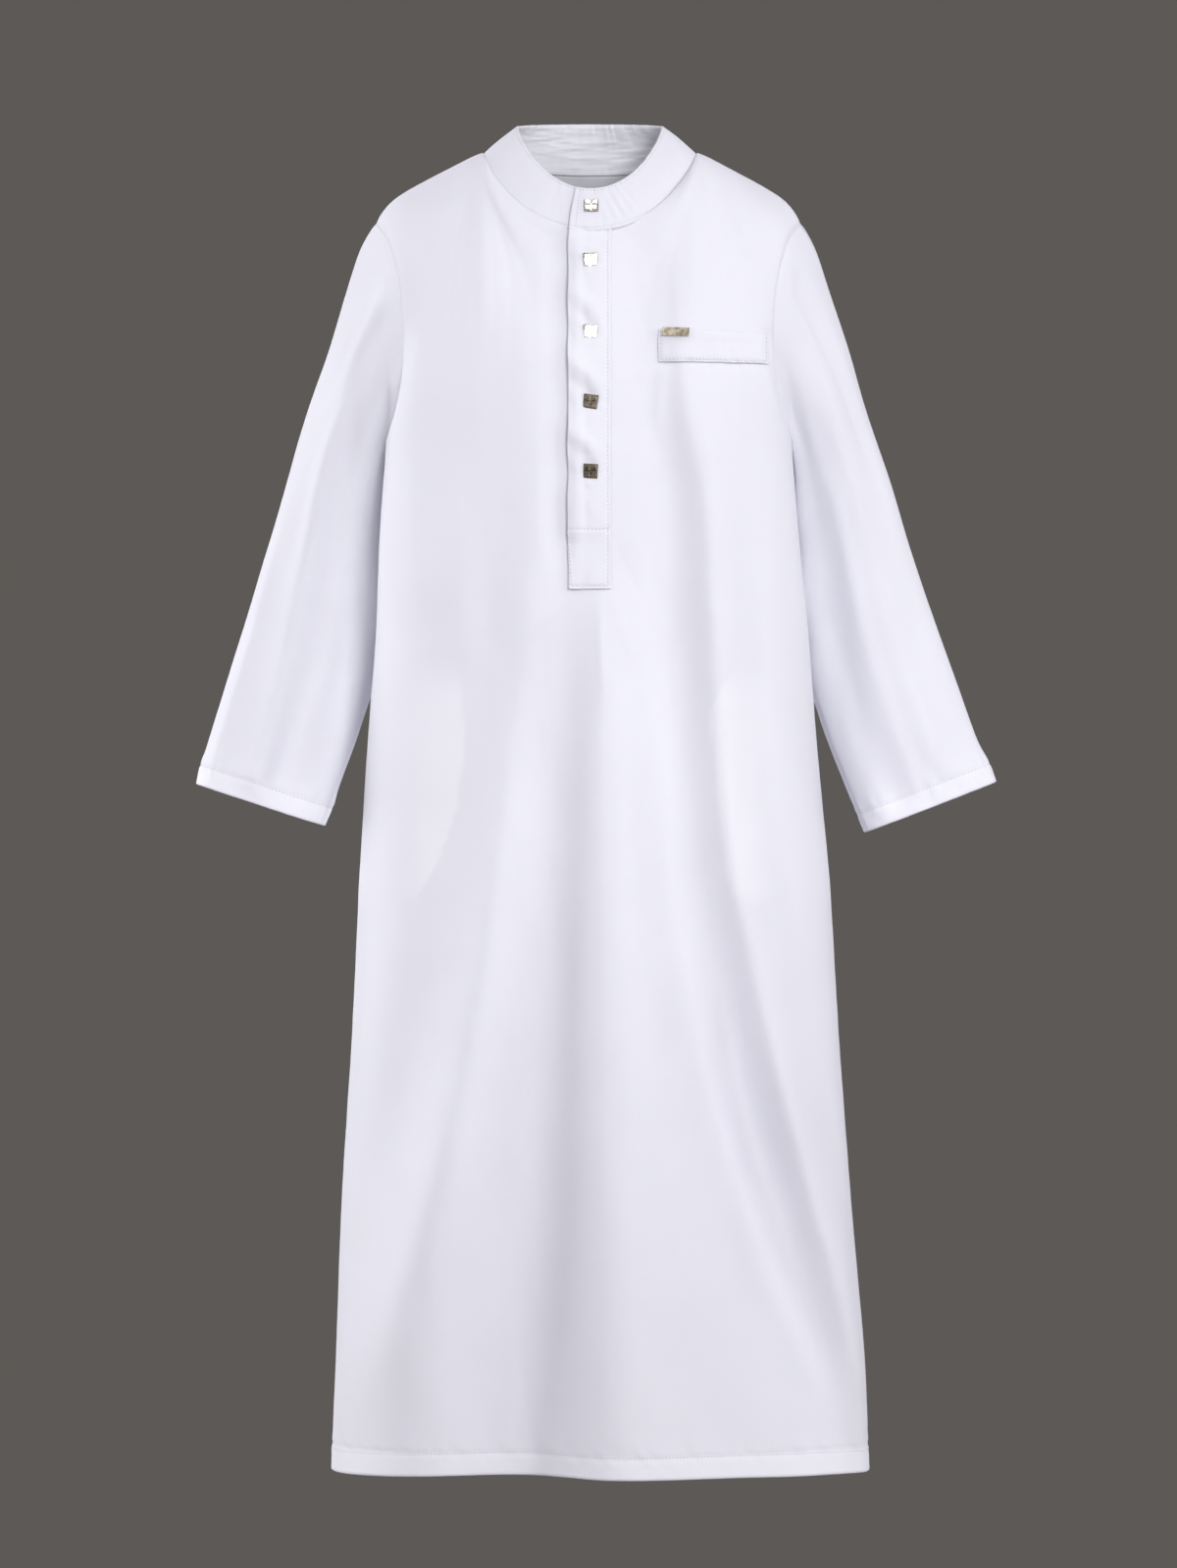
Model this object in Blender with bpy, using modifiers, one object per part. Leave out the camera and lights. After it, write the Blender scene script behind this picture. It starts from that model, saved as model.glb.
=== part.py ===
"""Boy's thobe: a long white shirt robe with a stand collar, a buttoned front band and straight sleeves.

The robe hangs as it is worn, hollow and open at the neck, cuffs and hem. Metres, +Z up. The front faces -Y
and the wearer's left is +X. The origin is in the neck opening, level with the collar seam at its sides.
"""

import functools
import math

import bmesh
import bpy
import numpy as np
from mathutils import Matrix

# Cloth and seams
CLOTH = 0.002
TURNED_CLOTH = 0.003
BAND_CLOTH = 0.0016
BAG_CLOTH = 0.001
SEAM_GAP = 0.0003
FOLDED_GAP = 0.0006
HEM_FOLD = 0.015
FOLD_STEP = 0.0006

# Body heights
ARMPIT_Z = -0.220
HEM_SIDE_Z = -1.0085
HEM_FRONT_Z = -1.0035
SLIT_FOOT_Z = -0.292

# Body sections: half widths to the wearer's right and left, reach to the front and back,
# how far forward the side seam lies, and how square the section is
BODY_COLUMNS = ("height", "right", "left", "front", "back", "seam_y", "square")
BODY_SECTIONS = (
    (-1.010, 0.1986, 0.2144, 0.132, 0.126, 0.000, 2.15),
    (-0.920, 0.1948, 0.2099, 0.128, 0.121, 0.000, 2.15),
    (-0.800, 0.1903, 0.2001, 0.123, 0.114, -0.002, 2.15),
    (-0.680, 0.1828, 0.1910, 0.118, 0.108, -0.004, 2.2),
    (-0.560, 0.1767, 0.1835, 0.113, 0.102, -0.008, 2.2),
    (-0.450, 0.1697, 0.1730, 0.109, 0.098, -0.014, 2.25),
    (-0.365, 0.1632, 0.1667, 0.107, 0.097, -0.021, 2.3),
    (-0.300, 0.1607, 0.1601, 0.106, 0.097, -0.024, 2.3),
    (-0.220, 0.1555, 0.1540, 0.104, 0.098, -0.022, 2.3),
)

# Shoulder seams and neckline
NECK_HALF_WIDTH = 0.082
SHOULDER_HALF_WIDTH = {-1: 0.1640, 1: 0.1616}
SHOULDER_DROP = 0.041
SHOULDER_TIP_DROP = 0.012
SHOULDER_Y = (-0.006, -0.002)
NECK_FRONT = (0.066, 0.0625)
NECK_BACK = (0.045, 0.012)
NECK_DIP_POWER = 1.37
SHOULDER_CURVE_POWER = 1.15
SHOULDER_TIP_POWER = 12
NECK_EVEN_SHARE = 0.62

# Armhole seam from the underarm up to the shoulder tip, front and back; x is from the middle
ARMHOLE_COLUMNS = ("share", "x", "front_y", "front_z", "back_x", "back_y", "back_z")
ARMHOLE = (
    (0.00, 0.1550, -0.022, -0.220, 0.1550, -0.022, -0.220),
    (0.20, 0.1475, -0.037, -0.197, 0.1490, 0.006, -0.203),
    (0.40, 0.1420, -0.049, -0.162, 0.1465, 0.026, -0.168),
    (0.60, 0.1420, -0.053, -0.126, 0.1465, 0.034, -0.128),
    (0.80, 0.1480, -0.043, -0.087, 0.1510, 0.030, -0.087),
    (0.92, 0.1560, -0.024, -0.064, 0.1570, 0.016, -0.064),
    (1.00, 0.1640, -0.002, -0.053, 0.1640, -0.002, -0.053),
)
ARMHOLE_REACH = 0.34

# Sleeve sections: the outer and inner corners, the middle in depth and the half depth
SLEEVE_COLUMNS = ("outer_x", "outer_z", "inner_x", "inner_z", "middle_y", "half_depth", "square")
SLEEVE_SECTIONS = {
    -1: (
        (0.1640, -0.053, 0.1555, -0.220, -0.010, 0.043, 2.0),
        (0.1710, -0.062, 0.1570, -0.2235, -0.006, 0.043, 2.0),
        (0.1790, -0.077, 0.1580, -0.229, 0.000, 0.043, 2.0),
        (0.1890, -0.107, 0.1580, -0.240, 0.008, 0.043, 2.0),
        (0.2030, -0.152, 0.1575, -0.256, 0.017, 0.042, 2.05),
        (0.2190, -0.200, 0.1565, -0.276, 0.025, 0.041, 2.1),
        (0.2365, -0.258, 0.1560, -0.306, 0.031, 0.038, 2.1),
        (0.2525, -0.310, 0.1575, -0.350, 0.034, 0.035, 2.15),
        (0.2665, -0.358, 0.1630, -0.391, 0.034, 0.032, 2.15),
        (0.2815, -0.4085, 0.1780, -0.440, 0.031, 0.029, 2.2),
        (0.2925, -0.447, 0.1915, -0.478, 0.027, 0.026, 2.2),
        (0.2990, -0.4685, 0.2000, -0.501, 0.024, 0.025, 2.25),
        (0.3030, -0.4830, 0.2050, -0.515, 0.022, 0.025, 2.3),
    ),
    1: (
        (0.1616, -0.053, 0.1540, -0.220, -0.010, 0.043, 2.0),
        (0.1680, -0.062, 0.1555, -0.2235, -0.006, 0.043, 2.0),
        (0.1750, -0.077, 0.1565, -0.229, 0.000, 0.043, 2.0),
        (0.1850, -0.107, 0.1570, -0.240, 0.008, 0.043, 2.0),
        (0.2005, -0.152, 0.1570, -0.256, 0.017, 0.042, 2.05),
        (0.2150, -0.200, 0.1555, -0.276, 0.025, 0.041, 2.1),
        (0.2345, -0.258, 0.1565, -0.306, 0.031, 0.038, 2.1),
        (0.2510, -0.310, 0.1595, -0.350, 0.034, 0.035, 2.15),
        (0.2670, -0.358, 0.1665, -0.393, 0.034, 0.032, 2.15),
        (0.2845, -0.4085, 0.1815, -0.443, 0.031, 0.029, 2.2),
        (0.2980, -0.447, 0.1970, -0.483, 0.027, 0.026, 2.2),
        (0.3075, -0.4665, 0.2065, -0.505, 0.024, 0.025, 2.25),
        (0.3135, -0.4810, 0.2125, -0.520, 0.022, 0.025, 2.3),
    ),
}
HEAD_SECTIONS = 6

# Folds of the body: where each starts and ends, its x at the top, middle and foot, its width and depth
FOLD_COLUMNS = ("top_z", "foot_z", "top_x", "middle_x", "foot_x", "half_width", "depth", "foot_share")
FRONT_FOLDS = (
    (-0.340, -1.020, 0.006, 0.000, -0.014, 0.022, 0.0080, 1.0),
    (-0.280, -1.020, -0.060, -0.098, -0.165, 0.024, 0.0085, 1.0),
    (-0.230, -1.020, 0.062, 0.108, 0.182, 0.026, 0.0085, 1.0),
    (-0.400, -1.020, -0.040, -0.052, -0.082, 0.022, -0.0060, 1.0),
    (-0.400, -1.020, 0.045, 0.056, 0.085, 0.022, -0.0055, 1.0),
    (-0.480, -1.020, 0.140, 0.158, 0.128, 0.016, -0.0040, 1.0),
    (-0.560, -1.020, -0.128, -0.140, -0.128, 0.016, -0.0040, 1.0),
    (-0.110, -0.300, 0.060, 0.056, 0.052, 0.014, 0.0030, 0.0),
    (-0.090, -0.360, -0.026, -0.030, -0.028, 0.012, -0.0035, 0.0),
    (-0.135, -0.235, -0.139, -0.143, -0.148, 0.010, 0.0045, 0.0),
    (-0.135, -0.235, 0.137, 0.141, 0.146, 0.010, 0.0045, 0.0),
    (-0.045, -0.180, -0.124, -0.128, -0.118, 0.010, -0.0030, 0.0),
    (-0.050, -0.170, 0.128, 0.132, 0.122, 0.010, -0.0030, 0.0),
)
BACK_FOLDS = (
    (-0.300, -1.020, -0.018, -0.030, -0.044, 0.024, 0.0085, 1.0),
    (-0.360, -1.020, 0.070, 0.088, 0.112, 0.026, 0.0090, 1.0),
    (-0.420, -1.020, -0.086, -0.112, -0.142, 0.022, 0.0075, 1.0),
    (-0.400, -1.020, 0.026, 0.034, 0.036, 0.022, -0.0060, 1.0),
    (-0.440, -1.020, -0.056, -0.072, -0.092, 0.020, -0.0060, 1.0),
    (-0.500, -1.020, 0.128, 0.146, 0.166, 0.018, -0.0045, 1.0),
    (-0.060, -0.260, -0.110, -0.116, -0.126, 0.014, 0.0035, 0.0),
    (-0.060, -0.240, 0.108, 0.112, 0.120, 0.014, 0.0035, 0.0),
    (-0.220, -0.380, -0.110, -0.128, -0.140, 0.012, -0.0035, 0.0),
    (-0.220, -0.360, 0.112, 0.126, 0.140, 0.012, -0.0035, 0.0),
)
# Folds of a sleeve: share of the way round at the head and cuff (0 underarm, 0.5 outer edge), start and
# end along it, width round it and depth
SLEEVE_FOLD_COLUMNS = ("head_share", "cuff_share", "start", "end", "half_width", "depth")
SLEEVE_FOLDS = (
    (0.20, 0.18, 0.10, 0.92, 0.045, -0.0045),
    (0.33, 0.30, 0.30, 0.98, 0.050, 0.0040),
    (0.42, 0.40, 0.05, 0.45, 0.035, -0.0030),
    (0.66, 0.62, 0.15, 0.95, 0.045, 0.0040),
    (0.80, 0.78, 0.10, 0.80, 0.050, -0.0040),
)

# Collar: its upper edge as half width, reach and height at the front, sides and back
COLLAR_TOP_HALF_WIDTH = 0.056
COLLAR_TOP_FRONT_Y = -0.049
COLLAR_TOP_BACK_Y = 0.042
COLLAR_TOP_Z = {"front": -0.0300, "side": 0.0220, "back": 0.0265}
COLLAR_DIP_POWER = 1.45
COLLAR_LAP = 0.0026
COLLAR_LAP_TURN = math.radians(50)
LAP_MARGIN = 0.05
COLLAR_BELLY = 0.0012
COLLAR_ROWS = 4

# Front opening and its bands
SLIT_HALF_WIDTH = 0.0115
COLLAR_END_X = 0.0165
BAND_X = (-0.0155, 0.0156)
BAND_TOP_DROP = 0.0008
BAND_FOOT_Z = {"over": -0.3360, "under": -0.3020}

# Chest pocket
WELT_X = (0.0522, 0.1343)
WELT_TOP_Z = (-0.1398, -0.1417)
WELT_DEPTH = 0.0240
WELT_GAP = 0.0008
BAR_WIDTH = 0.0204
BAR_HEIGHT = 0.0066
BAR_THICKNESS = 0.0014
BAR_X = 0.0654
BAR_Z = -0.1430
BAR_GAP = 0.0005
BAR_TILT = -1.5

# Side pocket bags: height, and x of the inner edge of the wearer's right and left bag
BAG_COLUMNS = ("height", "right_x", "left_x")
BAG_EDGES = (
    (-0.380, 0.112, 0.120),
    (-0.398, 0.101, 0.106),
    (-0.420, 0.097, 0.094),
    (-0.470, 0.097, 0.095),
    (-0.505, 0.102, 0.098),
    (-0.545, 0.117, 0.102),
    (-0.582, 0.140, 0.112),
)
BAG_SIDE_X = 0.158
BAG_GAP = 0.0010

# Buttons
BUTTON_SIDE = 0.0110
BUTTON_THICKNESS = 0.0022
BUTTON_GROOVE = 0.0014
BUTTON_GROOVE_DEPTH = 0.0009
BUTTON_X = 0.0004
BUTTON_COLUMNS = ("height", "tilt")
BUTTONS = ((-0.0864, 1.0), (-0.1416, -1.0), (-0.1951, -8.0), (-0.2476, -3.0))
COLLAR_BUTTON_RISE = 0.57

# Mesh steps
SHOULDER_STEPS = 8
NECK_STEPS = 5
ARMHOLE_STEPS = 10
SLIT_STEPS = 2
SKIRT_STEPS = 18
CHEST_RISE = 0.17
NEWTON_STEPS = 6
BORDER_STEPS = 9
NEAR_U = 0.004
NEAR_H = 0.006
PLACE_MARGIN = 0.002
SIDE_LIMIT = 0.98
BORDER_MIDDLE_Z = -0.2
SLEEVE_HEAD_PLACES = (0, 0.5, 1.2, 2)
CUFF_FOLD_STEP = 0.04
SAME = 1e-9

# How the chest leaves the armpit section and meets the shoulders and neckline: slopes per unit of its rise
ARMPIT_HALF_WIDTH = 0.155
NECK_REACH = 0.154
SLOPE_STEP = 0.02
ARMPIT_PULL = 0.19
NECK_SLOPE = (0.055, 0.13)
SHOULDER_SLOPE = (0.150, 0.05)
SHOULDER_BLEND = (0.06, 0.14)

# How folds grow from their start, widen, fade at their end and die away at the seams
FOLD_GROWTH = 0.35
FOLD_FADE_START = 0.6
FOLD_TOP_WIDTH = 0.75
FOLD_WIDENING = 0.45
SIDE_FADE = 0.05
TOP_FADE = 0.25
SLEEVE_FOLD_GROWTH = 0.15
SLEEVE_FOLD_REST = 0.3

# How far a wall leans in at a seam, and how far a groove's cutter reaches
SEAM_LEAN = 0.15
CUTTER_LENGTH = 0.02
CUTTER_DEPTH = 0.004

WHITE = (0.86, 0.86, 0.90, 1.0)
METAL = (0.62, 0.56, 0.48, 1.0)


@functools.cache
def column(table, names, name):
    """One named column of a table, as an array."""
    return np.array([row[names.index(name)] for row in table])


def smooth(at, places, values):
    """A smooth curve through a table's values, with no overshoot past a flat stretch."""
    at = np.clip(np.asarray(at, float), places[0], places[-1])
    slopes = np.gradient(values, places)
    index = np.clip(np.searchsorted(places, at, side="right") - 1, 0, len(places) - 2)
    span = places[index + 1] - places[index]
    t = (at - places[index]) / span
    start, end = values[index], values[index + 1]
    return (
        start * (1 + 2 * t) * (1 - t) ** 2
        + slopes[index] * span * t * (1 - t) ** 2
        + end * t * t * (3 - 2 * t)
        - slopes[index + 1] * span * t * t * (1 - t)
    )


def unit(vectors):
    return vectors / np.maximum(np.linalg.norm(vectors, axis=-1, keepdims=True), 1e-12)


def ease(values):
    values = np.clip(values, 0, 1)
    return values * values * (3 - 2 * values)


def body_size(name, z):
    heights = column(BODY_SECTIONS, BODY_COLUMNS, "height")
    return smooth(z, heights, column(BODY_SECTIONS, BODY_COLUMNS, name))


def body_ring(face, u, z):
    """A point of the body's section at height z; u runs from the wearer's right seam to the left one."""
    turn = -np.cos(np.pi * u)
    half = np.where(turn < 0, body_size("right", z), body_size("left", z))
    seam_y = body_size("seam_y", z)
    square = body_size("square", z)
    reach = np.where(face < 0, body_size("front", z) + seam_y, body_size("back", z) - seam_y)
    y = seam_y + face * reach * np.maximum(1 - np.abs(turn) ** square, 0) ** (1 / square)
    return np.stack(np.broadcast_arrays(half * turn, y, z), -1)


def neck_base(turn):
    """The neckline at an angle from the middle of the front, positive to the wearer's left."""
    toward_front = np.cos(turn)
    depth = np.abs(toward_front)
    front = toward_front >= 0
    y = np.where(front, -NECK_FRONT[0], NECK_BACK[0]) * depth
    z = -np.where(front, NECK_FRONT[1] * depth**NECK_DIP_POWER, NECK_BACK[1] * depth)
    y = y + SHOULDER_Y[0] * np.sin(turn) ** 2
    return np.stack([NECK_HALF_WIDTH * np.sin(turn), y, z], -1)


def collar_edge(turn):
    """The collar's upper edge at the same angle."""
    toward_front = np.cos(turn)
    depth = np.abs(toward_front)
    front = toward_front >= 0
    top = COLLAR_TOP_Z
    z_front = top["side"] + (top["front"] - top["side"]) * depth**COLLAR_DIP_POWER
    z_back = top["side"] + (top["back"] - top["side"]) * depth
    y = np.where(front, COLLAR_TOP_FRONT_Y, COLLAR_TOP_BACK_Y) * depth
    return np.stack([COLLAR_TOP_HALF_WIDTH * np.sin(turn), y, np.where(front, z_front, z_back)], -1)


NECK_U = math.acos(NECK_HALF_WIDTH / NECK_REACH) / math.pi


def neck_turn(u):
    """The angle round the neckline for a place across a panel, nearly even in x at the middle."""
    share = (u - 0.5) / (0.5 - NECK_U)
    return np.pi / 2 * (NECK_EVEN_SHARE * share + (1 - NECK_EVEN_SHARE) * share**3)


def shoulder_seam(side, share):
    """The shoulder seam from the neck (0) to the tip of the shoulder (1)."""
    x = NECK_HALF_WIDTH + (SHOULDER_HALF_WIDTH[side] - NECK_HALF_WIDTH) * share
    y = SHOULDER_Y[0] + (SHOULDER_Y[1] - SHOULDER_Y[0]) * share
    z = -SHOULDER_DROP * share**SHOULDER_CURVE_POWER - SHOULDER_TIP_DROP * share**SHOULDER_TIP_POWER
    return np.stack([side * x, y, z], -1)


def top_edge(face, u):
    """The upper edge of a panel: shoulder seam, neckline, shoulder seam."""
    right = shoulder_seam(-1, np.clip(1 - u / NECK_U, 0, 1))
    left = shoulder_seam(1, np.clip(1 - (1 - u) / NECK_U, 0, 1))
    turn = neck_turn(np.clip(u, NECK_U, 1 - NECK_U))
    neck = neck_base(turn if face < 0 else np.pi - turn)
    right_part, left_part = (u <= NECK_U)[..., None], (u >= 1 - NECK_U)[..., None]
    return np.where(right_part, right, np.where(left_part, left, neck))


def armhole(face, side, share):
    shares = column(ARMHOLE, ARMHOLE_COLUMNS, "share")
    names = ("x", "front_y", "front_z") if face < 0 else ("back_x", "back_y", "back_z")
    x, y, z = (smooth(share, shares, column(ARMHOLE, ARMHOLE_COLUMNS, name)) for name in names)
    table_tip = ARMHOLE[-1][1]
    underarm = float(body_size("right" if side < 0 else "left", ARMPIT_Z))
    x = x + (SHOULDER_HALF_WIDTH[side] - table_tip) * share + (underarm - ARMHOLE[0][1]) * (1 - share)
    return np.stack([side * x, y, z], -1)


def hem_height(u):
    return HEM_SIDE_Z + (HEM_FRONT_Z - HEM_SIDE_Z) * np.sin(np.pi * u) ** 2


def skirt(face, u, rise):
    low = hem_height(u) if face < 0 else HEM_SIDE_Z + 0 * u
    return body_ring(face, u, low + (ARMPIT_Z - low) * rise)


def chest(face, u, rise):
    """The part above the armpits: from the armpit section up to the shoulders and neckline."""
    t = rise[..., None]

    def leaving(place):
        """The armpit section at a place, and the way the chest leaves it."""
        start = body_ring(face, place, ARMPIT_Z + 0 * place)
        below = body_ring(face, place, ARMPIT_Z - SLOPE_STEP + 0 * place)
        return start, (start - below) / SLOPE_STEP * ARMPIT_PULL

    def between(first, last, first_slope, last_slope):
        return (
            first * (1 + 2 * t) * (1 - t) ** 2
            + first_slope * t * (1 - t) ** 2
            + last * t * t * (3 - 2 * t)
            - last_slope * t * t * (1 - t)
        )

    at_neck = np.array([0, -face * NECK_SLOPE[0], NECK_SLOPE[1]])
    at_shoulder = np.array([0, -face * SHOULDER_SLOPE[0], SHOULDER_SLOPE[1]])
    over_shoulder = ease((np.abs(u - 0.5) - SHOULDER_BLEND[0]) / SHOULDER_BLEND[1])[..., None]
    start, leave = leaving(u)
    points = between(start, top_edge(face, u), leave, at_neck + (at_shoulder - at_neck) * over_shoulder)
    for side, near in ((-1, u), (1, 1 - u)):
        edge_u = np.full_like(u, 0.0 if side < 0 else 1.0)
        start, leave = leaving(edge_u)
        edge = between(start, top_edge(face, edge_u), leave, at_shoulder)
        pull = ease(1 - near / ARMHOLE_REACH)[..., None]
        points = points + pull * (armhole(face, side, rise) - edge)
    return points


def panel_base(face, u, h):
    """A panel's smooth surface; h runs 0 to 1 from the hem to the armpits and 1 to 2 up to the top."""
    u, h = np.broadcast_arrays(np.asarray(u, float), np.asarray(h, float))
    low = skirt(face, u, np.clip(h, 0, 1))
    high = chest(face, u, np.clip(h - 1, 0, 1))
    return np.where((h < 1)[..., None], low, high)


def surface_normals(surface, a, b, low, high, outward):
    """Unit normals of a surface by small steps both ways, kept inside its range."""
    step = 1e-3
    a0, a1 = np.maximum(a - step, low[0]), np.minimum(a + step, high[0])
    b0, b1 = np.maximum(b - step, low[1]), np.minimum(b + step, high[1])
    across = surface(a1, b) - surface(a0, b)
    along = surface(a, b1) - surface(a, b0)
    return outward * unit(np.cross(across, along))


def fold_lift(table, points):
    """How far the folds push the cloth out at each point."""
    x, z = points[..., 0], points[..., 2]
    lift = np.zeros(x.shape)
    for top_z, foot_z, top_x, middle_x, foot_x, half_width, depth, foot_share in table:
        share = np.clip((top_z - z) / (top_z - foot_z), 0, 1)
        middle = (
            top_x * (1 - share) * (1 - 2 * share)
            + middle_x * 4 * share * (1 - share)
            + foot_x * share * (2 * share - 1)
        )
        fading = ease((share - FOLD_FADE_START) / (1 - FOLD_FADE_START))
        grow = ease(share / FOLD_GROWTH) * (1 - (1 - foot_share) * fading)
        width = half_width * (FOLD_TOP_WIDTH + FOLD_WIDENING * share)
        lift = lift + depth * grow * np.exp(-(((x - middle) / width) ** 2))
    return lift


def panel(face, u, h):
    """Points and outward normals of the front (-1) or back (+1) panel."""
    u, h = np.broadcast_arrays(np.asarray(u, float), np.asarray(h, float))
    base = panel_base(face, u, h)
    normals = surface_normals(lambda a, b: panel_base(face, a, b), u, h, (0, 0), (1, 2), -face)
    fade = ease(np.minimum(u, 1 - u) / SIDE_FADE) * ease((2 - h) / TOP_FADE)
    lift = fold_lift(FRONT_FOLDS if face < 0 else BACK_FOLDS, base) * fade
    return base + normals * lift[..., None], normals


def front_place(x, z):
    """Where the front has a given x and height, as places across and up it, found by Newton steps."""
    x, z = np.broadcast_arrays(np.asarray(x, float), np.asarray(z, float))
    half = np.where(x < 0, body_size("right", z), body_size("left", z))
    u = np.arccos(np.clip(-x / half, -SIDE_LIMIT, SIDE_LIMIT)) / np.pi
    tall = ARMPIT_Z - HEM_SIDE_Z
    h = np.where(z < ARMPIT_Z, (z - HEM_SIDE_Z) / tall, 1 + (z - ARMPIT_Z) / CHEST_RISE)
    step = 1e-4
    for _ in range(NEWTON_STEPS):
        here, beside, above = (panel(-1, a, b)[0] for a, b in ((u, h), (u + step, h), (u, h + step)))
        ux, uz = (beside - here)[..., 0] / step, (beside - here)[..., 2] / step
        hx, hz = (above - here)[..., 0] / step, (above - here)[..., 2] / step
        miss_x, miss_z = x - here[..., 0], z - here[..., 2]
        area = ux * hz - uz * hx
        u = np.clip(u + (miss_x * hz - miss_z * hx) / area, PLACE_MARGIN, 1 - PLACE_MARGIN)
        h = np.clip(h + (miss_z * ux - miss_x * uz) / area, PLACE_MARGIN, 2 - PLACE_MARGIN / 2)
    return u, h


def sleeve_base(side, share, place):
    """The sleeve's smooth surface; share goes round from the underarm over the front, place runs down."""
    share, place = np.broadcast_arrays(np.asarray(share, float) % 1.0, np.asarray(place, float))
    places = np.arange(len(SLEEVE_SECTIONS[side]), dtype=float)
    names = SLEEVE_COLUMNS
    size = {name: smooth(place, places, column(SLEEVE_SECTIONS[side], names, name)) for name in names}
    start = dict(zip(names, SLEEVE_SECTIONS[side][0]))

    def ring(row):
        turn = np.cos(2 * np.pi * share)
        x = (row["inner_x"] + row["outer_x"]) / 2 + (row["inner_x"] - row["outer_x"]) / 2 * turn
        z = (row["inner_z"] + row["outer_z"]) / 2 + (row["inner_z"] - row["outer_z"]) / 2 * turn
        bulge = np.maximum(1 - np.abs(turn) ** row["square"], 0) ** (1 / row["square"])
        y = row["middle_y"] - row["half_depth"] * bulge * np.where(share < 0.5, 1, -1)
        return np.stack(np.broadcast_arrays(side * x, y, z), -1)

    front_seam, back_seam = armhole(-1, side, 2 * share), armhole(1, side, 2 * np.minimum(1 - share, 0.5))
    seam = np.where((share < 0.5)[..., None], front_seam, back_seam)
    pull = (1 - ease(place / HEAD_SECTIONS))[..., None]
    return ring(size) + pull * (seam - ring(start))


def sleeve(side, share, place):
    """Points and outward normals of a sleeve."""
    share, place = np.broadcast_arrays(np.asarray(share, float), np.asarray(place, float))
    last = len(SLEEVE_SECTIONS[side]) - 1
    base = sleeve_base(side, share, place)
    normals = surface_normals(
        lambda a, b: sleeve_base(side, a, b), share, place, (-1, 0), (2, last), -side
    )
    along = place / last
    lift = np.zeros(base.shape[:-1])
    for head_share, cuff_share, start, end, half_width, depth in SLEEVE_FOLDS:
        middle = head_share + (cuff_share - head_share) * along
        off = (share - middle + 0.5) % 1.0 - 0.5
        starting = ease((along - start) / SLEEVE_FOLD_GROWTH)
        ending = ease((end - along) / SLEEVE_FOLD_GROWTH + SLEEVE_FOLD_REST)
        grow = starting * ending
        lift = lift + depth * grow * np.exp(-((off / half_width) ** 2))
    return base + normals * lift[..., None], normals


# ---- Closed walls from a grid of points


def inward(points, edge):
    """Unit vectors from an edge of the grid toward its inside."""
    pairs = {"first_row": (1, 0), "last_row": (-2, -1)}
    if edge in pairs:
        near, at = pairs[edge]
        return unit(points[near] - points[at])
    near, at = {"first_column": (1, 0), "last_column": (-2, -1)}[edge]
    return unit(points[:, near] - points[:, at])


EDGES = {
    "first_row": (0, slice(None)),
    "last_row": (-1, slice(None)),
    "first_column": (slice(None), 0),
    "last_column": (slice(None), -1),
}


def share_seams(pieces):
    """Gives pieces one normal at each seam point that they share, and parts them there by the seam gap.

    Where a seam is folded sharply, as under the arm, each wall also leans away from its neighbour.
    """
    at_point = {}
    for piece in pieces:
        for edge in piece["seams"]:
            where = EDGES[edge]
            rows = zip(piece["points"][where], piece["normals"][where], inward(piece["points"], edge))
            for point, normal, direction in rows:
                key = tuple(np.round(point, 6))
                sums = at_point.setdefault(key, {}).setdefault(piece["group"], [np.zeros(3), np.zeros(3)])
                sums[0] += normal
                sums[1] += direction
    shared = {}
    for key, groups in at_point.items():
        total = sum(unit(normal) + SEAM_LEAN * unit(direction) for normal, direction in groups.values())
        shared[key] = unit(total)
    for piece in pieces:
        points, own = piece["points"], piece["normals"].copy()
        shift = np.zeros_like(points)
        for edge in piece["seams"]:
            where = EDGES[edge]
            normals = np.array([shared[tuple(np.round(point, 6))] for point in points[where]])
            folded = 1 - np.sum(normals * own[where], -1, keepdims=True)
            shift[where] += inward(points, edge) * SEAM_GAP / 2 - own[where] * FOLDED_GAP * folded
            piece["normals"][where] = normals
        piece["points"] = points + shift


def higher(one, other):
    """Whether a point counts as above another, the same way from both sides of a seam."""
    if abs(one[2] - other[2]) > 2 * SEAM_GAP:
        return one[2] > other[2]
    return one[0] + one[1] > other[0] + other[1]


def wall(name, points, normals, thickness, material, round_grid=False, missing=()):
    """A closed wall: the given points outside, the same points moved in by the thickness inside."""
    inner = points - normals * np.asarray(thickness)[..., None]
    rows, columns = points.shape[:2]
    spans = columns if round_grid else columns - 1
    cells = [
        ((r, c), (r, (c + 1) % columns), (r + 1, (c + 1) % columns), (r + 1, c))
        for r in range(rows - 1)
        for c in range(spans)
        if (r, c) not in missing
    ]
    sides = {}
    for cell in cells:
        for start, end in zip(cell, cell[1:] + cell[:1]):
            sides[(start, end)] = (end, start) not in sides
            if not sides[(start, end)]:
                sides[(end, start)] = False
    mesh = bmesh.new()
    places = sorted({corner for cell in cells for corner in cell})
    outside = {place: mesh.verts.new(points[place]) for place in places}
    inside = {place: mesh.verts.new(inner[place]) for place in places}
    for first, second, third, fourth in cells:
        for corners in ((first, second, third), (first, third, fourth)):
            mesh.faces.new([outside[corner] for corner in corners])
            mesh.faces.new([inside[corner] for corner in reversed(corners)])
    for (start, end), open_side in sides.items():
        if open_side:
            rim = [outside[end], outside[start], inside[start], inside[end]]
            turned = rim if higher(points[start], points[end]) else rim[1:] + rim[:1]
            mesh.faces.new(turned[:3])
            mesh.faces.new([turned[0], *turned[2:]])
    bmesh.ops.recalc_face_normals(mesh, faces=mesh.faces)
    return finish(name, mesh, material)


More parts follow.
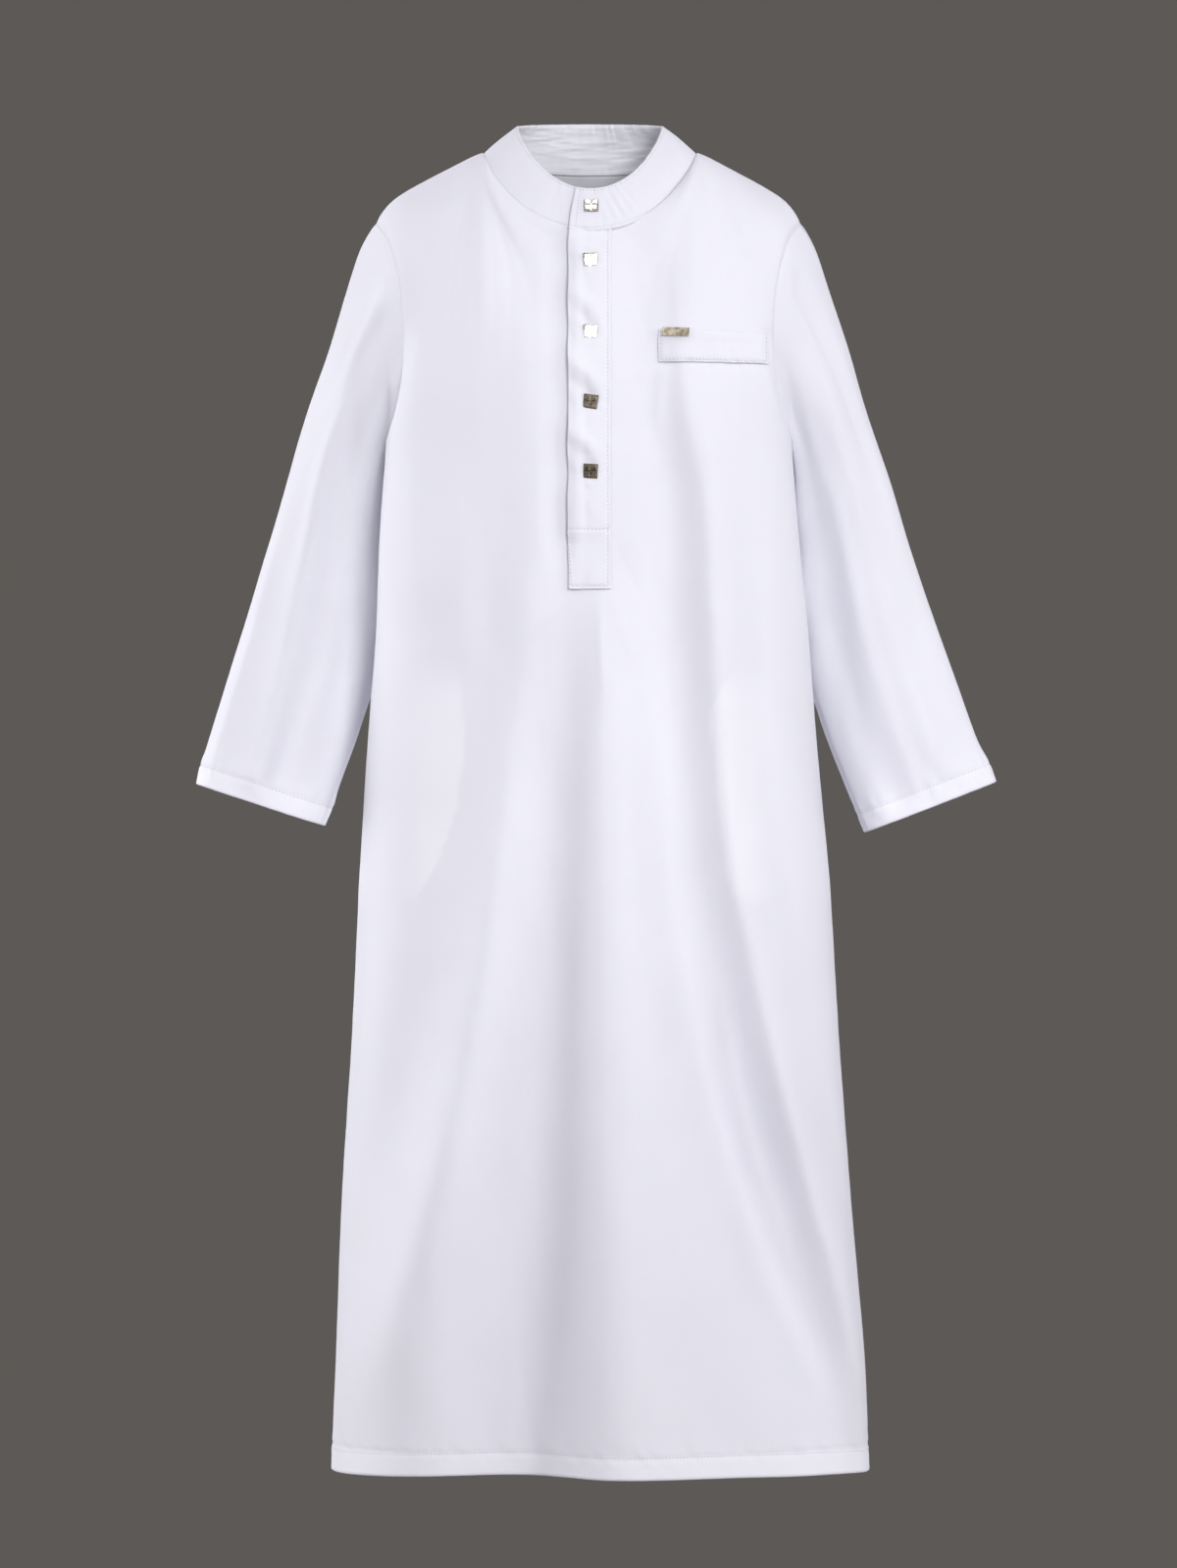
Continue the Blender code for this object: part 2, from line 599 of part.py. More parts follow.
def finish(name, mesh, material):
    data = bpy.data.meshes.new(name)
    mesh.to_mesh(data)
    mesh.free()
    data.materials.append(material)
    data.shade_smooth()
    data.set_sharp_from_angle(angle=math.radians(50))
    made = bpy.data.objects.new(name, data)
    ROBE.objects.link(made)
    return made


def plain_material(name, colour, roughness, metallic=0.0):
    material = bpy.data.materials.new(name)
    material.use_nodes = True
    shader = material.node_tree.nodes["Principled BSDF"]
    shader.inputs["Base Color"].default_value = colour
    shader.inputs["Roughness"].default_value = roughness
    shader.inputs["Metallic"].default_value = metallic
    return material


# ---- The pieces


def across(x):
    """The place across a panel of a given x at the armpits."""
    return math.acos(-x / ARMPIT_HALF_WIDTH) / math.pi


def panel_columns():
    half = [
        *np.linspace(0, NECK_U, SHOULDER_STEPS + 1)[:-1],
        *np.linspace(NECK_U, across(-COLLAR_END_X), NECK_STEPS + 1),
        across(-SLIT_HALF_WIDTH),
    ]
    return np.array([*half, 0.5, *[1 - u for u in reversed(half)]])


def panel_rows():
    tall = ARMPIT_Z - HEM_SIDE_Z
    slit_foot = (SLIT_FOOT_Z - HEM_SIDE_Z) / tall
    fold_top = HEM_FOLD / tall
    return np.array(
        [
            0,
            fold_top,
            *np.linspace(fold_top + FOLD_STEP / tall, slit_foot, SKIRT_STEPS + 1),
            *np.linspace(slit_foot, 1, SLIT_STEPS + 1)[1:],
            *np.linspace(1, 2, ARMHOLE_STEPS + 1)[1:],
        ]
    )


def panel_piece(face):
    u, h = np.meshgrid(panel_columns(), panel_rows())
    points, normals = panel(face, u, h)
    return {"group": "body", "points": points, "normals": normals, "seams": tuple(EDGES)[1:]}


def sleeve_piece(side):
    last = len(SLEEVE_SECTIONS[side]) - 1
    fold_start = last - 1
    places = [*SLEEVE_HEAD_PLACES, *range(3, fold_start), fold_start - CUFF_FOLD_STEP, fold_start, last]
    share, place = np.meshgrid(np.arange(2 * ARMHOLE_STEPS) / (2 * ARMHOLE_STEPS), places)
    points, normals = sleeve(side, share, place)
    return {"group": "sleeve", "points": points, "normals": normals, "seams": ("first_row",)}


def collar_turns():
    """Angles of the collar's columns, from the over end round the back to the under end."""
    columns = panel_columns()
    neck = columns[(columns >= NECK_U - SAME) & (columns <= 1 - NECK_U + SAME)]
    turns = neck_turn(neck)
    over, under = neck_turn(across(-COLLAR_END_X)), neck_turn(across(COLLAR_END_X))
    full = 2 * np.pi
    front_left = turns[turns >= over - SAME]
    back = (np.pi - turns)[::-1][1:-1]
    front_right = full + turns[turns <= under + SAME]
    return np.array([*front_left, *back, *front_right])


def collar_surface(turn, rise):
    """The collar between its seam and its upper edge, slightly rounded outward, without its lap."""
    foot, edge = neck_base(turn), collar_edge(turn)
    away = np.stack([np.sin(turn), -np.cos(turn), np.zeros_like(turn)], -1)
    belly = COLLAR_BELLY * np.sin(np.pi * rise)
    return foot + (edge - foot) * rise[..., None] + away * belly[..., None]


def collar_lap(turn):
    """How far the over end stands off the under end; it eases down once past it."""
    under = collar_turns()[-1] - 2 * np.pi
    return COLLAR_LAP * (1 - ease((turn - under - LAP_MARGIN) / COLLAR_LAP_TURN))


def collar_piece():
    turn, rise = np.meshgrid(collar_turns(), np.linspace(0, 1, COLLAR_ROWS + 1))
    points = collar_surface(turn, rise)
    normals = surface_normals(collar_surface, turn, rise, (-9, 0), (9, 1), 1)
    return {"group": "collar", "points": points, "normals": normals, "seams": ("first_row",), "turn": turn}


def neckline_normals(turns, front, back):
    """Normals of the two panels' neckline at the collar's angles."""
    columns = panel_columns()
    inside = (columns >= NECK_U - SAME) & (columns <= 1 - NECK_U + SAME)
    turn = neck_turn(columns[inside])
    front_top, back_top = (piece["normals"][-1][inside] for piece in (front, back))
    known = [*zip(turn, front_top), *zip(np.pi - turn[1:-1], back_top[1:-1])]
    known.sort(key=lambda pair: pair[0])
    angles = np.array([pair[0] for pair in known])
    values = np.array([pair[1] for pair in known])
    wrapped = (turns - angles[0]) % (2 * np.pi) + angles[0]
    angles = np.append(angles, angles[0] + 2 * np.pi)
    values = np.vstack([values, values[:1]])
    return unit(np.stack([np.interp(wrapped, angles, values[:, i]) for i in range(3)], -1))


def on_panel(piece, u, h):
    """Points and normals on a panel's own flat facets, at places across and up it."""
    across_steps, up_steps = panel_columns(), panel_rows()
    column_at = np.interp(u, across_steps, np.arange(len(across_steps)))
    row_at = np.interp(h, up_steps, np.arange(len(up_steps)))
    col = np.minimum(column_at.astype(int), len(across_steps) - 2)
    row = np.minimum(row_at.astype(int), len(up_steps) - 2)
    right, rise = (column_at - col)[..., None], (row_at - row)[..., None]
    found = []
    for grid in (piece["points"], piece["normals"]):
        low_left, low_right = grid[row, col], grid[row, col + 1]
        high_left, high_right = grid[row + 1, col], grid[row + 1, col + 1]
        below = low_left + (low_right - low_left) * right + (high_right - low_right) * rise
        above = low_left + (high_right - high_left) * right + (high_left - low_left) * rise
        found.append(np.where(right >= rise, below, above))
    return found[0], unit(found[1])


def lay_on(name, front, left, right, foot, top, lift, thickness, material):
    """A thin piece on the front, on its facets.

    The edges left and right give x at a height, and foot and top give z at an x. The lift is how far the
    piece's outer face stands off the cloth's.
    """
    share = np.linspace(0, 1, BORDER_STEPS)
    middle_x = (left(BORDER_MIDDLE_Z) + right(BORDER_MIDDLE_Z)) / 2
    low, high = foot(middle_x), top(middle_x)
    sides, ends = [], []
    for edge in (left, right):
        z = foot(edge(low)) + (top(edge(high)) - foot(edge(low))) * share
        sides.append(front_place(edge(z), z))
    for edge, z in ((foot, low), (top, high)):
        x = left(z) + (right(z) - left(z)) * share
        ends.append(front_place(x, edge(x)))
    columns, rows = panel_columns(), panel_rows()
    inside_u = columns[(columns > sides[0][0].max() + NEAR_U) & (columns < sides[1][0].min() - NEAR_U)]
    inside_h = rows[(rows > ends[0][1].max() + NEAR_H) & (rows < ends[1][1].min() - NEAR_H)]
    u = np.zeros((len(inside_h) + 2, len(inside_u) + 2))
    h = np.zeros_like(u)
    u[:, 1:-1], h[1:-1] = inside_u, inside_h[:, None]
    for column_at, (side_u, side_h) in ((0, sides[0]), (-1, sides[1])):
        u[1:-1, column_at] = np.interp(inside_h, side_h, side_u)
        u[0, column_at], u[-1, column_at] = side_u[0], side_u[-1]
        h[0, column_at], h[-1, column_at] = side_h[0], side_h[-1]
    for row_at, (end_u, end_h) in ((0, ends[0]), (-1, ends[1])):
        h[row_at, 1:-1] = np.interp(inside_u, end_u, end_h)
    points, normals = on_panel(front, u, h)
    return wall(name, points + normals * lift, normals, np.full(u.shape, thickness), material)


def neckline_z(x):
    return neck_base(np.arcsin(x / NECK_HALF_WIDTH))[..., 2]


def add_bands(front, cloth):
    lifts = {"over": SEAM_GAP + BAND_CLOTH, "under": -CLOTH - SEAM_GAP}
    for name, lift in lifts.items():
        lay_on(
            "placket_" + name,
            front,
            left=lambda z: BAND_X[0] + 0 * z,
            right=lambda z: BAND_X[1] + 0 * z,
            foot=lambda x: BAND_FOOT_Z[name] + 0 * x,
            top=lambda x: neckline_z(x) - BAND_TOP_DROP,
            lift=lift,
            thickness=BAND_CLOTH,
            material=cloth,
        )


def welt_top(x):
    return np.interp(x, WELT_X, WELT_TOP_Z)


def add_pocket(front, cloth, metal):
    lay_on(
        "pocket_welt",
        front,
        left=lambda z: WELT_X[0] + 0 * z,
        right=lambda z: WELT_X[1] + 0 * z,
        foot=lambda x: welt_top(x) - WELT_DEPTH,
        top=welt_top,
        lift=WELT_GAP + BAND_CLOTH,
        thickness=BAND_CLOTH,
        material=cloth,
    )
    place, normal = (value[0] for value in on_panel(front, *front_place([BAR_X], [BAR_Z])))
    lift = WELT_GAP + BAND_CLOTH + BAR_GAP + BAR_THICKNESS / 2
    bar = plate("pocket_bar", (BAR_WIDTH, BAR_HEIGHT, BAR_THICKNESS), metal)
    settle(bar, place + normal * lift, normal, BAR_TILT)
    soften(bar)


def add_bags(front, cloth):
    heights = column(BAG_EDGES, BAG_COLUMNS, "height")[::-1]
    for side, name in ((-1, "right"), (1, "left")):
        edges = column(BAG_EDGES, BAG_COLUMNS, name + "_x")[::-1]
        edge_lines = (
            lambda z, side=side: side * BAG_SIDE_X + 0 * z,
            lambda z, side=side, edges=edges: side * smooth(z, heights, edges),
        )
        lay_on(
            "pocket_bag_" + name,
            front,
            left=edge_lines[0] if side < 0 else edge_lines[1],
            right=edge_lines[1] if side < 0 else edge_lines[0],
            foot=lambda x: heights[0] + 0 * x,
            top=lambda x: heights[-1] + 0 * x,
            lift=-CLOTH - BAG_GAP,
            thickness=BAG_CLOTH,
            material=cloth,
        )


def plate(name, size, material):
    """A flat block, its length along x, height along y and thickness along z."""
    mesh = bmesh.new()
    bmesh.ops.create_cube(mesh, size=1.0)
    bmesh.ops.scale(mesh, vec=size, verts=mesh.verts)
    return finish(name, mesh, material)


def settle(made, place, normal, tilt):
    """Stands a piece's z axis on the cloth's normal, its x axis level but for the tilt in degrees."""
    level = unit(np.cross((0.0, 0.0, 1.0), normal))
    upward = np.cross(normal, level)
    turn = math.radians(tilt)
    x_axis = level * math.cos(turn) + upward * math.sin(turn)
    y_axis = np.cross(normal, x_axis)
    rows = [[float(axis[row]) for axis in (x_axis, y_axis, normal, place)] for row in range(3)]
    made.matrix_world = Matrix([*rows, [0.0, 0.0, 0.0, 1.0]])


def soften(made):
    edge = made.modifiers.new("edges", "BEVEL")
    edge.width = 0.0003
    edge.segments = 1


def add_button(name, place, normal, tilt, metal):
    """A square button with a cross groove between four raised squares."""
    made = plate(name, (BUTTON_SIDE, BUTTON_SIDE, BUTTON_THICKNESS), metal)
    grooves = ((BUTTON_GROOVE, CUTTER_LENGTH, CUTTER_DEPTH), (CUTTER_LENGTH, BUTTON_GROOVE, CUTTER_DEPTH))
    for number, size in enumerate(grooves):
        cutter = plate(f"{name}_groove_{number}", size, metal)
        ROBE.objects.unlink(cutter)
        CUTTERS.objects.link(cutter)
        cutter.hide_render = True
        cutter.display_type = "WIRE"
        top = BUTTON_THICKNESS / 2 - BUTTON_GROOVE_DEPTH + CUTTER_DEPTH / 2
        settle(cutter, place + normal * (BUTTON_THICKNESS / 2 + top), normal, tilt)
        cut = made.modifiers.new("groove", "BOOLEAN")
        cut.object = cutter
        cut.operation = "DIFFERENCE"
    settle(made, place + normal * BUTTON_THICKNESS / 2, normal, tilt)
    soften(made)


def add_buttons(front, metal):
    turn, rise = np.array([[0.0]]), np.array([[COLLAR_BUTTON_RISE]])
    normal = surface_normals(collar_surface, turn, rise, (-9, 0), (9, 1), 1).reshape(3)
    place = collar_surface(turn, rise).reshape(3)
    add_button("button_1", place + normal * (COLLAR_LAP + SEAM_GAP), normal, 0.0, metal)
    for number, (height, tilt) in enumerate(BUTTONS, 2):
        place, normal = (value[0] for value in on_panel(front, *front_place([BUTTON_X], [height])))
        lift = 2 * SEAM_GAP + BAND_CLOTH
        add_button(f"button_{number}", place + normal * lift, normal, tilt, metal)


def wall_thickness(shape, fold_rows):
    thickness = np.full(shape, CLOTH)
    thickness[fold_rows] = TURNED_CLOTH
    return thickness


def main():
    cloth = plain_material("white_cloth", WHITE, 0.85)
    metal = plain_material("metal", METAL, 0.25, 1.0)
    front, back = panel_piece(-1), panel_piece(1)
    sleeves = {"sleeve_right": sleeve_piece(-1), "sleeve_left": sleeve_piece(1)}
    collar = collar_piece()
    share_seams([front, back, *sleeves.values(), collar])
    collar["normals"][0] = neckline_normals(collar_turns(), front, back)
    collar["points"] += collar["normals"] * collar_lap(collar["turn"])[..., None]
    columns, rows = panel_columns(), panel_rows()
    middle = len(columns) // 2
    slit_row = int(np.argmin(np.abs(rows - (SLIT_FOOT_Z - HEM_SIDE_Z) / (ARMPIT_Z - HEM_SIDE_Z))))
    slit = {(row, col) for row in range(slit_row, len(rows) - 1) for col in (middle - 1, middle)}
    for name, piece, missing in (("front", front, slit), ("back", back, ())):
        thickness = wall_thickness(piece["points"].shape[:2], slice(0, 2))
        wall(name, piece["points"], piece["normals"], thickness, cloth, missing=missing)
    for name, piece in sleeves.items():
        thickness = wall_thickness(piece["points"].shape[:2], slice(-2, None))
        wall(name, piece["points"], piece["normals"], thickness, cloth, round_grid=True)
    thickness = wall_thickness(collar["turn"].shape, slice(0, 0))
    wall("collar", collar["points"], collar["normals"], thickness, cloth)
    add_bands(front, cloth)
    add_pocket(front, cloth, metal)
    add_bags(front, cloth)
    add_buttons(front, metal)


for old in list(bpy.data.objects):
    bpy.data.objects.remove(old, do_unlink=True)
ROBE = bpy.data.collections.new("thobe_robe")
CUTTERS = bpy.data.collections.new("cutters")
bpy.context.scene.collection.children.link(ROBE)
bpy.context.scene.collection.children.link(CUTTERS)
main()
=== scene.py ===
"""The look of a boy's white thobe: cloth, folds, stitching, metal buttons, a floor, lights and a camera."""

import functools
import math

import bmesh
import bpy
import numpy as np
from mathutils import Matrix, Vector


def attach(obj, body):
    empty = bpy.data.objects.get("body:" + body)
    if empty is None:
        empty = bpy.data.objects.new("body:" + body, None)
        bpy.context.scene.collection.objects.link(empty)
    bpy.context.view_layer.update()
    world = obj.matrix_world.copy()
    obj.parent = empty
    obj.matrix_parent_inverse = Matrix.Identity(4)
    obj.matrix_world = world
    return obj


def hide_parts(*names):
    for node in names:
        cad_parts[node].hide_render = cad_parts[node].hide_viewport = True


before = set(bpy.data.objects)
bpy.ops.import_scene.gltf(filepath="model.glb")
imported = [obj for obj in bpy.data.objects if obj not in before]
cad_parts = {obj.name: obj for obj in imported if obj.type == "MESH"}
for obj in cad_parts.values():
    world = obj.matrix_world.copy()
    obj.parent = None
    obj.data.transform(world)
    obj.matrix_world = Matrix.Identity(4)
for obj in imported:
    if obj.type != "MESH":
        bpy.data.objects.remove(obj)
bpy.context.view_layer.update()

bl_info = {
    "name": "Thobe robe looks",
    "version": (1, 0, 0),
    "blender": (4, 5, 0),
    "location": "3D View > Sidebar > Thobe",
    "description": "Dresses the thobe's frame with cloth, folds, stitching and metal trim",
    "category": "Add Mesh",
}

# ---- Sizes shared with the solids, in metres

ARMPIT_Z = -0.220
HEM_SIDE_Z = -1.0085
HEM_FRONT_Z = -1.0035
# half widths to the wearer's right and left, and depths before and behind the side seam
BODY_COLUMNS = ("height", "right", "left", "front", "back", "seam_y", "square")
BODY_SECTIONS = (
    (-1.010, 0.1986, 0.2144, 0.132, 0.126, 0.000, 2.15),
    (-0.920, 0.1948, 0.2099, 0.128, 0.121, 0.000, 2.15),
    (-0.800, 0.1903, 0.2001, 0.123, 0.114, -0.002, 2.15),
    (-0.680, 0.1828, 0.1910, 0.118, 0.108, -0.004, 2.2),
    (-0.560, 0.1767, 0.1835, 0.113, 0.102, -0.008, 2.2),
    (-0.450, 0.1697, 0.1730, 0.109, 0.098, -0.014, 2.25),
    (-0.365, 0.1632, 0.1667, 0.107, 0.097, -0.021, 2.3),
    (-0.300, 0.1607, 0.1601, 0.106, 0.097, -0.024, 2.3),
    (-0.220, 0.1555, 0.1540, 0.104, 0.098, -0.022, 2.3),
)
NECK_HALF_WIDTH = 0.082
SHOULDER_HALF_WIDTH = {-1: 0.1640, 1: 0.1616}
SHOULDER_DROP = 0.041
SHOULDER_TIP_DROP = 0.012
SHOULDER_Y = (-0.006, -0.002)
NECK_FRONT = (0.066, 0.0625)
NECK_BACK = (0.045, 0.012)
NECK_DIP_POWER = 1.37
ARMHOLE_COLUMNS = ("share", "x", "front_y", "front_z", "back_x", "back_y", "back_z")
ARMHOLE = (
    (0.00, 0.1550, -0.022, -0.220, 0.1550, -0.022, -0.220),
    (0.20, 0.1475, -0.037, -0.197, 0.1490, 0.006, -0.203),
    (0.40, 0.1420, -0.049, -0.162, 0.1465, 0.026, -0.168),
    (0.60, 0.1420, -0.053, -0.126, 0.1465, 0.034, -0.128),
    (0.80, 0.1480, -0.043, -0.087, 0.1510, 0.030, -0.087),
    (0.92, 0.1560, -0.024, -0.064, 0.1570, 0.016, -0.064),
    (1.00, 0.1640, -0.002, -0.053, 0.1640, -0.002, -0.053),
)
ARMHOLE_REACH = 0.34
SLEEVE_COLUMNS = ("outer_x", "outer_z", "inner_x", "inner_z", "middle_y", "half_depth", "square")
SLEEVE_SECTIONS = {
    -1: (
        (0.1640, -0.053, 0.1555, -0.220, -0.010, 0.043, 2.0),
        (0.1710, -0.062, 0.1570, -0.2235, -0.006, 0.043, 2.0),
        (0.1790, -0.077, 0.1580, -0.229, 0.000, 0.043, 2.0),
        (0.1890, -0.107, 0.1580, -0.240, 0.008, 0.043, 2.0),
        (0.2030, -0.152, 0.1575, -0.256, 0.017, 0.042, 2.05),
        (0.2190, -0.200, 0.1565, -0.276, 0.025, 0.041, 2.1),
        (0.2365, -0.258, 0.1560, -0.306, 0.031, 0.038, 2.1),
        (0.2525, -0.310, 0.1575, -0.350, 0.034, 0.035, 2.15),
        (0.2665, -0.358, 0.1630, -0.391, 0.034, 0.032, 2.15),
        (0.2815, -0.4085, 0.1780, -0.440, 0.031, 0.029, 2.2),
        (0.2925, -0.447, 0.1915, -0.478, 0.027, 0.026, 2.2),
        (0.2990, -0.4685, 0.2000, -0.501, 0.024, 0.025, 2.25),
        (0.3030, -0.4830, 0.2050, -0.515, 0.022, 0.025, 2.3),
    ),
    1: (
        (0.1616, -0.053, 0.1540, -0.220, -0.010, 0.043, 2.0),
        (0.1680, -0.062, 0.1555, -0.2235, -0.006, 0.043, 2.0),
        (0.1750, -0.077, 0.1565, -0.229, 0.000, 0.043, 2.0),
        (0.1850, -0.107, 0.1570, -0.240, 0.008, 0.043, 2.0),
        (0.2005, -0.152, 0.1570, -0.256, 0.017, 0.042, 2.05),
        (0.2150, -0.200, 0.1555, -0.276, 0.025, 0.041, 2.1),
        (0.2345, -0.258, 0.1565, -0.306, 0.031, 0.038, 2.1),
        (0.2510, -0.310, 0.1595, -0.350, 0.034, 0.035, 2.15),
        (0.2670, -0.358, 0.1665, -0.393, 0.034, 0.032, 2.15),
        (0.2845, -0.4085, 0.1815, -0.443, 0.031, 0.029, 2.2),
        (0.2980, -0.447, 0.1970, -0.483, 0.027, 0.026, 2.2),
        (0.3075, -0.4665, 0.2065, -0.505, 0.024, 0.025, 2.25),
        (0.3135, -0.4810, 0.2125, -0.520, 0.022, 0.025, 2.3),
    ),
}
HEAD_SECTIONS = 6
COLLAR_TOP_HALF_WIDTH = 0.056
COLLAR_TOP_FRONT_Y = -0.049
COLLAR_TOP_BACK_Y = 0.042
COLLAR_TOP_Z = {"front": -0.0300, "side": 0.0220, "back": 0.0265}
COLLAR_DIP_POWER = 1.45
COLLAR_LAP = 0.0026
COLLAR_LAP_TURN = math.radians(50)
LAP_MARGIN = 0.05
COLLAR_BELLY = 0.0012
COLLAR_END_X = 0.0165
SLIT_HALF_WIDTH = 0.0115
SLIT_FOOT_Z = -0.292
BAND_X = (-0.0155, 0.0156)
BAND_FOOT_Z = {"over": -0.3360, "under": -0.3020}
WELT_X = (0.0522, 0.1343)
WELT_TOP_Z = (-0.1398, -0.1417)
WELT_FOOT_Z = -0.1640
BAR = {"x": 0.0654, "z": -0.1430, "width": 0.0204, "height": 0.0066, "thickness": 0.0014, "tilt": -1.5}
BAG_COLUMNS = ("height", "right_x", "left_x")
BAG_EDGES = (
    (-0.380, 0.112, 0.120),
    (-0.398, 0.101, 0.106),
    (-0.420, 0.097, 0.094),
    (-0.470, 0.097, 0.095),
    (-0.505, 0.102, 0.098),
    (-0.545, 0.117, 0.102),
    (-0.582, 0.140, 0.112),
)
BAG_SIDES = {-1: "right_x", 1: "left_x"}
BAG_SIDE_X = 0.158
BAG_FOOT_FADE = 0.020
BAG_TOP_GAP, BAG_TOP_FADE = 0.004, 0.040
BUTTON_SIDE = 0.0110
BUTTON_X = 0.0004
BUTTONS = ((-0.0864, 1.0), (-0.1416, -1.0), (-0.1951, -8.0), (-0.2476, -3.0))
COLLAR_BUTTON_RISE = 0.57

# ---- Folds

# The long folds of each panel, as rows of height, the crest's x, how wide its slopes on the right and left
# are, and how far it stands out
FRONT_LONG_FOLDS = (
    (
        (-0.320, 0.013, 0.030, 0.050, 0.0000),
        (-0.363, 0.012, 0.038, 0.060, 0.0030),
        (-0.420, 0.011, 0.044, 0.070, 0.0080),
        (-0.480, 0.010, 0.048, 0.085, 0.0120),
        (-0.560, 0.011, 0.053, 0.095, 0.0155),
        (-0.710, 0.011, 0.060, 0.110, 0.0240),
        (-0.900, 0.013, 0.070, 0.120, 0.0298),
        (-1.030, 0.016, 0.078, 0.120, 0.0280),
    ),
    (
        (-0.250, -0.040, 0.024, 0.030, 0.0000),
        (-0.363, -0.046, 0.036, 0.040, 0.0035),
        (-0.484, -0.060, 0.042, 0.045, 0.0065),
        (-0.635, -0.080, 0.044, 0.052, 0.0095),
        (-0.710, -0.094, 0.047, 0.056, 0.0105),
        (-0.800, -0.119, 0.050, 0.060, 0.0105),
        (-0.900, -0.153, 0.050, 0.064, 0.0076),
        (-0.955, -0.172, 0.050, 0.064, 0.0030),
        (-1.030, -0.194, 0.050, 0.064, 0.0000),
    ),
    (
        (-0.075, 0.076, 0.030, 0.034, 0.0000),
        (-0.130, 0.072, 0.034, 0.036, 0.0030),
        (-0.205, 0.078, 0.034, 0.036, 0.0060),
        (-0.250, 0.088, 0.036, 0.036, 0.0085),
        (-0.363, 0.095, 0.040, 0.036, 0.0125),
        (-0.484, 0.102, 0.042, 0.036, 0.0140),
        (-0.560, 0.112, 0.042, 0.036, 0.0165),
        (-0.635, 0.128, 0.042, 0.034, 0.0195),
        (-0.710, 0.146, 0.042, 0.032, 0.0240),
        (-0.800, 0.171, 0.040, 0.028, 0.0245),
        (-0.900, 0.197, 0.038, 0.026, 0.0200),
        (-1.030, 0.226, 0.036, 0.024, 0.0060),
    ),
)
BACK_LONG_FOLDS = (
    (
        (-0.300, -0.018, 0.034, 0.060, 0.0000),
        (-0.420, -0.022, 0.060, 0.080, 0.0060),
        (-0.600, -0.030, 0.080, 0.090, 0.0130),
        (-0.800, -0.036, 0.090, 0.100, 0.0180),
        (-1.030, -0.040, 0.100, 0.110, 0.0200),
    ),
    (
        (-0.320, 0.074, 0.030, 0.040, 0.0000),
        (-0.480, 0.088, 0.040, 0.046, 0.0070),
        (-0.700, 0.112, 0.046, 0.046, 0.0120),
        (-1.030, 0.150, 0.050, 0.040, 0.0120),
    ),
    (
        (-0.360, -0.084, 0.040, 0.030, 0.0000),
        (-0.520, -0.104, 0.044, 0.040, 0.0060),
        (-0.720, -0.130, 0.046, 0.044, 0.0110),
        (-1.030, -0.172, 0.040, 0.050, 0.0090),
    ),
)
# The shorter folds: the heights where each starts and ends, its x at the start, middle and end, how wide its
# right and left sides are, how far it stands out, and the share of that left at its end
FRONT_FOLDS = (
    (-0.360, -0.700, 0.020, 0.026, 0.030, 0.010, 0.016, 0.0014, 0.0),
    (-0.280, -0.760, 0.124, 0.160, 0.194, 0.014, 0.022, 0.0050, 0.2),
    (-0.760, -1.020, 0.146, 0.180, 0.216, 0.012, 0.018, 0.0040, 0.5),
    # chest, shoulders and the roll in front of the armholes
    (-0.060, -0.420, -0.044, -0.050, -0.054, 0.014, 0.026, 0.0018, 0.0),
    (-0.120, -0.240, -0.139, -0.143, -0.148, 0.010, 0.012, 0.0045, 0.0),
    (-0.120, -0.240, 0.137, 0.141, 0.146, 0.012, 0.010, 0.0045, 0.0),
    (-0.045, -0.190, -0.128, -0.126, -0.112, 0.009, 0.014, -0.0030, 0.0),
    (-0.050, -0.180, 0.130, 0.128, 0.118, 0.010, 0.010, -0.0022, 0.0),
    (-0.180, -0.420, -0.142, -0.132, -0.126, 0.012, 0.020, 0.0026, 0.0),
    (-0.190, -0.430, 0.142, 0.136, 0.132, 0.014, 0.018, 0.0026, 0.0),
    (-0.230, -0.480, -0.100, -0.096, -0.086, 0.014, 0.020, 0.0024, 0.0),
)
BACK_FOLDS = (
    (-0.400, -1.020, 0.026, 0.034, 0.036, 0.022, 0.022, -0.0030, 1.0),
    (-0.500, -1.020, 0.128, 0.146, 0.166, 0.018, 0.014, -0.0035, 1.0),
    (-0.060, -0.260, -0.110, -0.116, -0.126, 0.012, 0.016, 0.0035, 0.0),
    (-0.060, -0.240, 0.108, 0.112, 0.120, 0.016, 0.012, 0.0035, 0.0),
    (-0.220, -0.380, -0.110, -0.128, -0.140, 0.012, 0.012, -0.0035, 0.0),
    (-0.220, -0.360, 0.112, 0.126, 0.140, 0.012, 0.012, -0.0035, 0.0),
    (-0.140, -0.420, 0.040, 0.052, 0.060, 0.014, 0.018, 0.0020, 0.0),
    (-0.150, -0.460, -0.036, -0.050, -0.064, 0.018, 0.014, 0.0020, 0.0),
    (-0.640, -1.020, 0.008, 0.000, -0.004, 0.014, 0.018, 0.0030, 1.0),
    (-0.600, -1.020, 0.150, 0.170, 0.186, 0.014, 0.012, 0.0030, 1.0),
)
